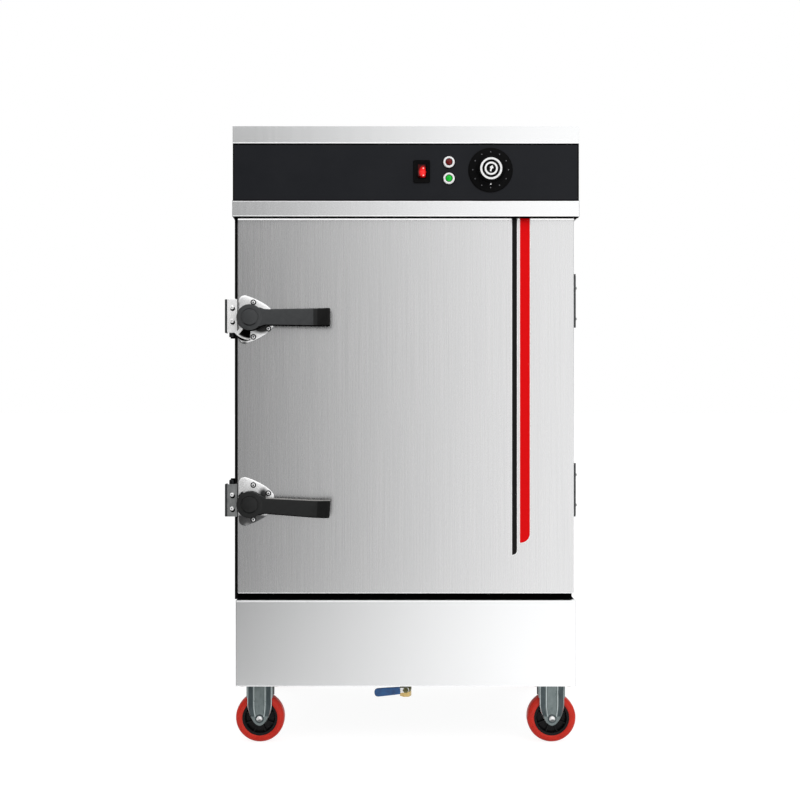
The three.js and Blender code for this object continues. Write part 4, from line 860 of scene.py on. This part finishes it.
# Casters
def caster(place):
    """A rigid caster: pressed fork, black core with ribs, red tyre, axle bolt."""
    core_low, core_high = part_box(f"wheel_core_{place}")
    x, y, z = (core_low.x + core_high.x) / 2, (core_low.y + core_high.y) / 2, 0.05
    body = f"wheel_{place}"
    half = [(0.0362, -0.0145), (0.0385, -0.0158), (0.043, -0.0155), (0.0465, -0.0142), (0.0488, -0.0118),
        (0.0498, -0.0085), (0.05, -0.004)]
    turned_piece(f"tread_{place}", mirrored(half), (x, y, z), "red_tyre", body, [f"tyre_{place}"], "y", 96,
        angle=60)
    half = [(0.0052, -0.0155), (0.0115, -0.0155), (0.0128, -0.0142), (0.0135, -0.0066), (0.0288, -0.0058),
        (0.0302, -0.0128), (0.0312, -0.0142), (0.036, -0.0144)]
    core = add_turned(bmesh.new(), mirrored(half), (x, y, z), "y", 72)
    for i in range(8):
        turn = Matrix.Translation((x, y, z)) @ Matrix.Rotation(radians(45 * i + 22.5), 4, "Y")
        before = len(core.verts)
        add_box(core, (0.0125, -0.0118, -0.0011), (0.0305, 0.0118, 0.0011))
        core.verts.ensure_lookup_table()
        bmesh.ops.transform(core, matrix=turn, verts=core.verts[before:])
    finish_piece(f"core_{place}", core, "wheel_core", body, [f"wheel_core_{place}"], angle=35)
    # The axle bolt's plating glows a little as painted light, with painted shade on its lower part.
    shade = ((x + 0.0005, y, z - 0.0038), (0.0085, 1, 0.0055), 0.5, (0.13, 0.14, 0.14))
    surface(f"bolt_{place}", 0.97, 0.9, (0.2, 0.3), 90, bump=0.05, shine=0.06, spots=[shade], metal=0.4)
    fork(place, x, y, z)


def fork(place, x, y, z):
    """Two pressed legs with ribs, a top plate with bolts, and the axle bolt."""
    low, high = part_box(f"caster_fork_{place}")
    top, tip, shoulder = high.z, low.z, z + 0.028
    gap, thick, half, flange = 0.0185, 0.0028, 0.025, 0.0268
    reach = gap + thick
    form = bmesh.new()

    def leg_half(height):
        """The leg narrows below its shoulder and ends in a round tip under the axle."""
        t = min(1.0, max(0.0, (shoulder - height) / (shoulder - tip)))
        return half * max(0.003, 1 - t ** 1.5) ** 0.5

    def rim(grid):
        """The points round a grid's edge, and its first point again."""
        return [row[0] for row in grid] + grid[-1][1:] + [row[-1] for row in grid[-2::-1]] + grid[0][-2::-1]

    heights = [top - 0.003, top - 0.02, shoulder]
    heights += [shoulder - (shoulder - tip) * sin(pi * i / 32) for i in range(1, 17)]
    columns = [-1, -0.93, -0.88, -0.56, -0.49, -0.42, -0.36, 0, 0.36, 0.42, 0.49, 0.56, 0.88, 0.93, 1]
    for side in (-1, 1):
        grids = []
        for offset in (0, thick):
            grid = []
            for height in heights:
                row = []
                fade = min(1.0, max(0.0, (height - (z + 0.002)) / 0.012))
                for c in columns:
                    press = 0.0016 * fade if abs(c) in (0.42, 0.49) else 0.0
                    edge = -0.002 if abs(c) == 1 and offset else 0.0
                    row.append(form.verts.new((x + c * leg_half(height),
                        y + side * (gap + offset + (press + edge)), height)))
                grid.append(row)
            grids.append(grid)
        for grid in grids:
            for row, (upper, lower) in enumerate(zip(grid, grid[1:])):
                for i in range(len(columns) - 1):
                    face = form.faces.new((upper[i], upper[i + 1], lower[i + 1], lower[i]))
                    across = abs(columns[i] + columns[i + 1]) / 2
                    ribbed = heights[row + 1] > z + 0.004
                    # Ribs and outer edges get a painted highlight, the bands between them painted shade.
                    if across > 0.92 or ribbed and 0.4 < across < 0.5:
                        face.material_index = 2
                    elif ribbed and across > 0.55:
                        face.material_index = 1
        inner, outer = map(rim, grids)
        for corners in zip(inner, inner[1:], outer[1:], outer):
            form.faces.new(corners)
        for edge in (-1, 1):
            x0, x1 = sorted((x + edge * half * 0.96, x + edge * flange))
            y0, y1 = sorted((y + side * (gap - 0.006), y + side * (gap + thick * 0.3)))
            add_box(form, (x0, y0, z + 0.042), (x1, y1, top - 0.002))
    add_box(form, (x - half, y - reach, top - 0.006), (x + half, y + reach, top - 0.0028))
    piece = finish_piece(f"fork_{place}", form, "fork_zinc", "root", [f"caster_fork_{place}"], angle=40)
    for look in ("fork_painted_shade", "fork_painted_highlight"):
        piece.data.materials.append(materials[look])
    round_edges(piece, 0.0005)
    # The top plate is painted near black as the shade under the base.
    slab_piece(f"fork_plate_{place}", rounded(low.x, high.x, low.y, high.y, [0.006] * 4), top - 0.003, top,
        "fork_zinc", "root", plane="xy", bevel=0.0006, look="painted_shade_zinc")
    front = -reach
    bolt = [(0, front - 0.005), (0.0038, front - 0.0048), (0.0056, front - 0.0036), (0.0062, front - 0.002),
        (0.0062, front - 0.001), (0.0048, front - 0.0008), (0.0048, reach), (0.0078, reach),
        (0.0078, reach + 0.0012), (0, reach + 0.0012)]
    turned_piece(f"axle_bolt_{place}", bolt, (x, y, z), "bright_steel", "root", axis="y", steps=32,
        look=f"bolt_{place}")
    # The washer is painted dark as shade round the bolt.
    washer = [(0.0048, front - 0.0012), (0.0084, front - 0.0012), (0.0088, front - 0.0008),
        (0.0088, front + 0.0002), (0.0048, front + 0.0002)]
    turned_piece(f"axle_washer_{place}", washer, (x, y, z), "zinc_steel", "root", axis="y", steps=32,
        look="fork_painted_shade")
    nut = [(0, reach + 0.001), (0.0072, reach + 0.001), (0.0072, reach + 0.0052), (0.005, reach + 0.0062),
        (0, reach + 0.0062)]
    turned_piece(f"axle_nut_{place}", nut, (x, y, z), "zinc_steel", "root", axis="y", steps=6, bevel=0.0004)
    for i, (sx, sy) in enumerate(((-1, -1), (1, -1), (1, 1), (-1, 1)), 1):
        turned_piece(f"plate_bolt_{place}_{i}",
            [(0, -0.0026), (0.0058, -0.0026), (0.0064, -0.002), (0.0064, 0), (0, 0)],
            (x + sx * 0.034, y + sy * 0.0265, top - 0.003), "zinc_steel", "root", axis="z", steps=6)


for place in ("front_left", "front_right", "rear_left", "rear_right"):
    caster(place)


# Drain valve
def drain_valve():
    """The brass ball valve under the front edge, and its lever: strap, nut and sleeve."""
    low, high, x, z = box_middle("drain_valve_body")
    y, ball = high.y - 0.013, 0.0125
    collar = [(0, low.z), (0.0072, low.z), (0.0072, low.z + 0.002), (0.0105, low.z + 0.0002),
        (0.0122, low.z + 0.001), (0.0122, low.z + 0.0108), (0.0108, low.z + 0.0118), (0, low.z + 0.0118)]
    turned_piece("valve_collar", collar, (x, y, 0), "brass", "root", axis="z", steps=6, turn=radians(8),
        bevel=0.0003)
    round_ball = [(ball * sin(pi * i / 12), z - ball * cos(pi * i / 12)) for i in range(1, 12)]
    form = add_turned(bmesh.new(), [(0, z - ball)] + round_ball + [(0, z + ball)], (x, y, 0), "z", 32)
    add_turned(form, [(0, z), (0.0098, z), (0.0098, high.z), (0, high.z)], (x, y, 0), "z", 32)
    boss = y - low.y
    add_turned(form, [(0, 0), (0.0064, 0), (0.0064, boss - 0.0006), (0.0058, boss), (0, boss)], (x, y, z))
    finish_piece("valve_body", form, "brass", "root", ["drain_valve_body"], bevel=0.0003, look="olive_brass")

    slant = Matrix.Translation((x, 0, z)) @ Matrix.Rotation(radians(-5), 4, "Y")
    strap_back = low.y - 0.0003
    strap_front = strap_back - 0.0025
    strap = add_slab(bmesh.new(), rounded(-0.024, 0.0068, -0.005, 0.005, (0.001, 0.005, 0.005, 0.001)),
        strap_front, strap_back)
    add_turned(strap, [(0, 0), (0.003, 0), (0.003, 0.008), (0, 0.008)], (0, strap_back + 0.008, 0), steps=24)
    reach = strap_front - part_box("drain_valve_lever")[0].y
    nut = add_turned(bmesh.new(), [(0, 0), (0.006, 0), (0.006, reach - 0.001), (0.0052, reach - 0.0004),
        (0.0028, reach - 0.0004), (0.0026, reach), (0, reach)], (0, strap_front, 0), steps=6)
    sleeve_middle = (strap_front + strap_back) / 2
    outline = [(-0.0112, -0.0074)]
    outline += curved((-0.0112, 0.0074), ((-0.04, 0.0086), (-0.0575, 0.0086), 4),
        ((-0.0652, 0.0082), (-0.0652, 0), 5), ((-0.0652, -0.0082), (-0.0575, -0.0086), 5),
        ((-0.04, -0.0086), (-0.0112, -0.0074), 4))[:-1]
    sleeve = add_slab(bmesh.new(), outline, sleeve_middle - 0.0033, sleeve_middle + 0.0033)
    for name, part, look, bevel, stands_for in (("strap", strap, "painted_glow_plating", 0.0004, ()),
            ("nut", nut, "olive_brass", 0.0002, ()),
            ("sleeve", sleeve, "blue_vinyl", 0.002, ["drain_valve_lever"])):
        bmesh.ops.transform(part, matrix=slant, verts=part.verts)
        finish_piece(f"valve_{name}", part, "blue_vinyl", "valve_lever", stands_for, bevel=bevel, look=look)


drain_valve()


# Back and sides
def panel_screws():
    """The screws that hold the back panel and the sides' lower edges."""
    low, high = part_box("back_panel")
    inset, rise = 0.011, 0.0018
    across = [low.x + inset + i * (high.x - low.x - 2 * inset) / 4 for i in range(5)]
    upward = [low.z + inset + i * (high.z - low.z - 2 * inset) / 6 for i in range(7)]
    spots = [(x, z) for x in (across[0], across[-1]) for z in upward]
    spots += [(x, z) for x in across[1:-1] for z in (upward[0], upward[-1])]
    for number, (x, z) in enumerate(spots, 1):
        screw(f"back_screw_{number}", (x, high.y, z), 0.0042, rise, "root", axis="y")
    for side, axis in (("left", "-x"), ("right", "x")):
        low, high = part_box(f"side_panel_{side}")
        face = low.x if side == "left" else high.x
        for number in range(4):
            y = low.y + 0.04 + number * (high.y - low.y - 0.08) / 3
            screw(f"side_screw_{side}_{number + 1}", (face, y, low.z + 0.016), 0.0042, rise, "root",
                axis=axis)


panel_screws()


# Stage, lights and camera
def emission_card(name, centre, width, height, turn, start, dark, end, light, diffuse=True, fan=False):
    """A screen out of the camera's sight: dark up to start along its width, light from end on.

    With fan, the gradient of a card on the floor spreads with the distance from the cabinet, so that
    the flat front mirrors it as upright bands.
    """
    material = bpy.data.materials.new(name)
    tree = node_tree(material)
    place = add(tree, "TexCoord").outputs["Object"]
    parts = add(tree, "SeparateXYZ", Vector=place)
    across = parts.outputs["X"]
    if fan:
        reach = 1 + (front_y - centre[1]) / CAMERA_DISTANCE
        growth = add(tree, "Math", parts.outputs["Y"], -1 / (CAMERA_DISTANCE * reach), 1.0,
            operation="MULTIPLY_ADD").outputs["Value"]
        across = add(tree, "Math", across, growth, operation="DIVIDE").outputs["Value"]
    level = add(tree, "MapRange", Value=across, From_Min=start, From_Max=end, To_Min=dark, To_Max=light)
    glow = add(tree, "Emission", Strength=level.outputs["Result"])
    add(tree, "OutputMaterial", glow.outputs["Emission"])
    card = flat_object(name, width / 2, height / 2, material)
    card.matrix_world = Matrix.Translation(centre) @ turn
    card.visible_camera = False
    card.visible_shadow = False
    card.visible_diffuse = diffuse


def flat_object(name, half_wide, half_high, material):
    """A one-faced object of the stage in the plane z = 0."""
    form = bmesh.new()
    form.faces.new([form.verts.new((u * half_wide, v * half_high, 0))
        for u, v in ((-1, -1), (1, -1), (1, 1), (-1, 1))])
    flat = make_object(name, form, material)
    return flat


def shown(tree):
    """1 for the rays that show the background: camera, glossy and transmission rays."""
    path = add(tree, "LightPath")
    total = path.outputs["Is Camera Ray"]
    for ray in ("Is Glossy Ray", "Is Transmission Ray"):
        total = add(tree, "Math", total, path.outputs[ray], operation="MAXIMUM").outputs["Value"]
    return total


def floor_and_world():
    """A white floor that keeps the shadow, and a world that looks white and lights evenly."""
    half = 60.0
    material = bpy.data.materials.new("floor")
    tree = node_tree(material)
    matt = add(tree, "BsdfDiffuse", Color=(0.86, 0.86, 0.86, 1.0)).outputs["BSDF"]
    glow = add(tree, "Emission", Strength=1.2).outputs["Emission"]
    share = add(tree, "Math", shown(tree), 0.74, operation="MULTIPLY").outputs["Value"]
    mix = add(tree, "MixShader", share, matt, glow)
    add(tree, "OutputMaterial", mix.outputs["Shader"])
    flat_object("floor", half, half, material)

    world = scene.world = bpy.data.worlds.new("studio")
    tree = node_tree(world)
    ambient, white = (add(tree, "Background", Color=(1, 1, 1, 1), Strength=strength)
        for strength in (0.9, 1.0))
    mix = add(tree, "MixShader", shown(tree), ambient.outputs["Background"], white.outputs["Background"])
    add(tree, "OutputWorld", mix.outputs["Shader"])


def lights_and_camera():
    """The screens that the steel mirrors, one soft key lamp, and the camera."""
    upright = Matrix.Rotation(radians(-90), 4, "X")
    level = Matrix.Identity(4)
    quarter = Matrix.Rotation(radians(90), 4, "Z")
    sideways = quarter @ upright
    emission_card("front_screen", (0, -4.4, 1.2), 7.0, 2.5, upright, -1.3, 0.12, 0.75, 1.31)
    emission_card("back_screen", (0, 4.6, 1.25), 7.0, 2.6, upright, -2.0, 0.35, 2.0, 1.1)
    emission_card("left_screen", (-3.4, 0, 1.25), 8.0, 2.6, sideways, -3.0, 0.12, 2.0, 0.8)
    emission_card("right_screen", (3.4, 0, 1.25), 8.0, 2.6, sideways, -3.0, 0.3, 3.0, 1.2)
    emission_card("far_floor_glow", (0, -3.2, 0.01), 7.0, 2.4, level, -1.1, 0.09, 0.62, 1.28, False, True)
    emission_card("near_floor_glow", (0, -1.3, 0.01), 4.0, 1.4, level, -0.85, 0.2, 0.36, 1.3, False, True)
    emission_card("rear_floor_glow", (0, 2.5, 0.011), 9.0, 4.2, level, -3.0, 0.3, 3.0, 0.8, False)
    emission_card("right_floor_glow", (3.0, 1.4, 0.012), 3.4, 5.0, quarter, -1.7, 0.45, 1.7, 0.8, False)
    emission_card("ceiling_glow", (0, -2.6, 3.7), 5.0, 2.6, Matrix.Rotation(radians(35), 4, "X"), -2.0, 1.5,
        2.0, 1.7, False)
    key = bpy.data.lights.new("key", "AREA")
    key.shape = "RECTANGLE"
    key.size, key.size_y, key.energy = 2.4, 1.6, 26
    lamp_object = bpy.data.objects.new("key", key)
    scene.collection.objects.link(lamp_object)
    spot = Vector((1.7, -2.6, 2.9))
    aim = Vector((middle_x, 0, 0.7)) - spot
    lamp_object.visible_glossy = False
    lamp_object.matrix_world = Matrix.Translation(spot) @ aim.to_track_quat("-Z", "Y").to_matrix().to_4x4()

    camera = bpy.data.cameras.new("camera")
    camera.sensor_width = SENSOR_WIDTH
    camera.lens = SENSOR_WIDTH * CAMERA_DISTANCE / VIEW_WIDTH
    camera.clip_end = 200
    eye = bpy.data.objects.new("camera", camera)
    scene.collection.objects.link(eye)
    eye.location = (middle_x + CAMERA_SIDE, front_y - CAMERA_DISTANCE, CAMERA_HEIGHT)
    eye.rotation_euler = (radians(90), 0, 0)
    scene.camera = eye
    scene.view_settings.view_transform = "Standard"


floor_and_world()
lights_and_camera()
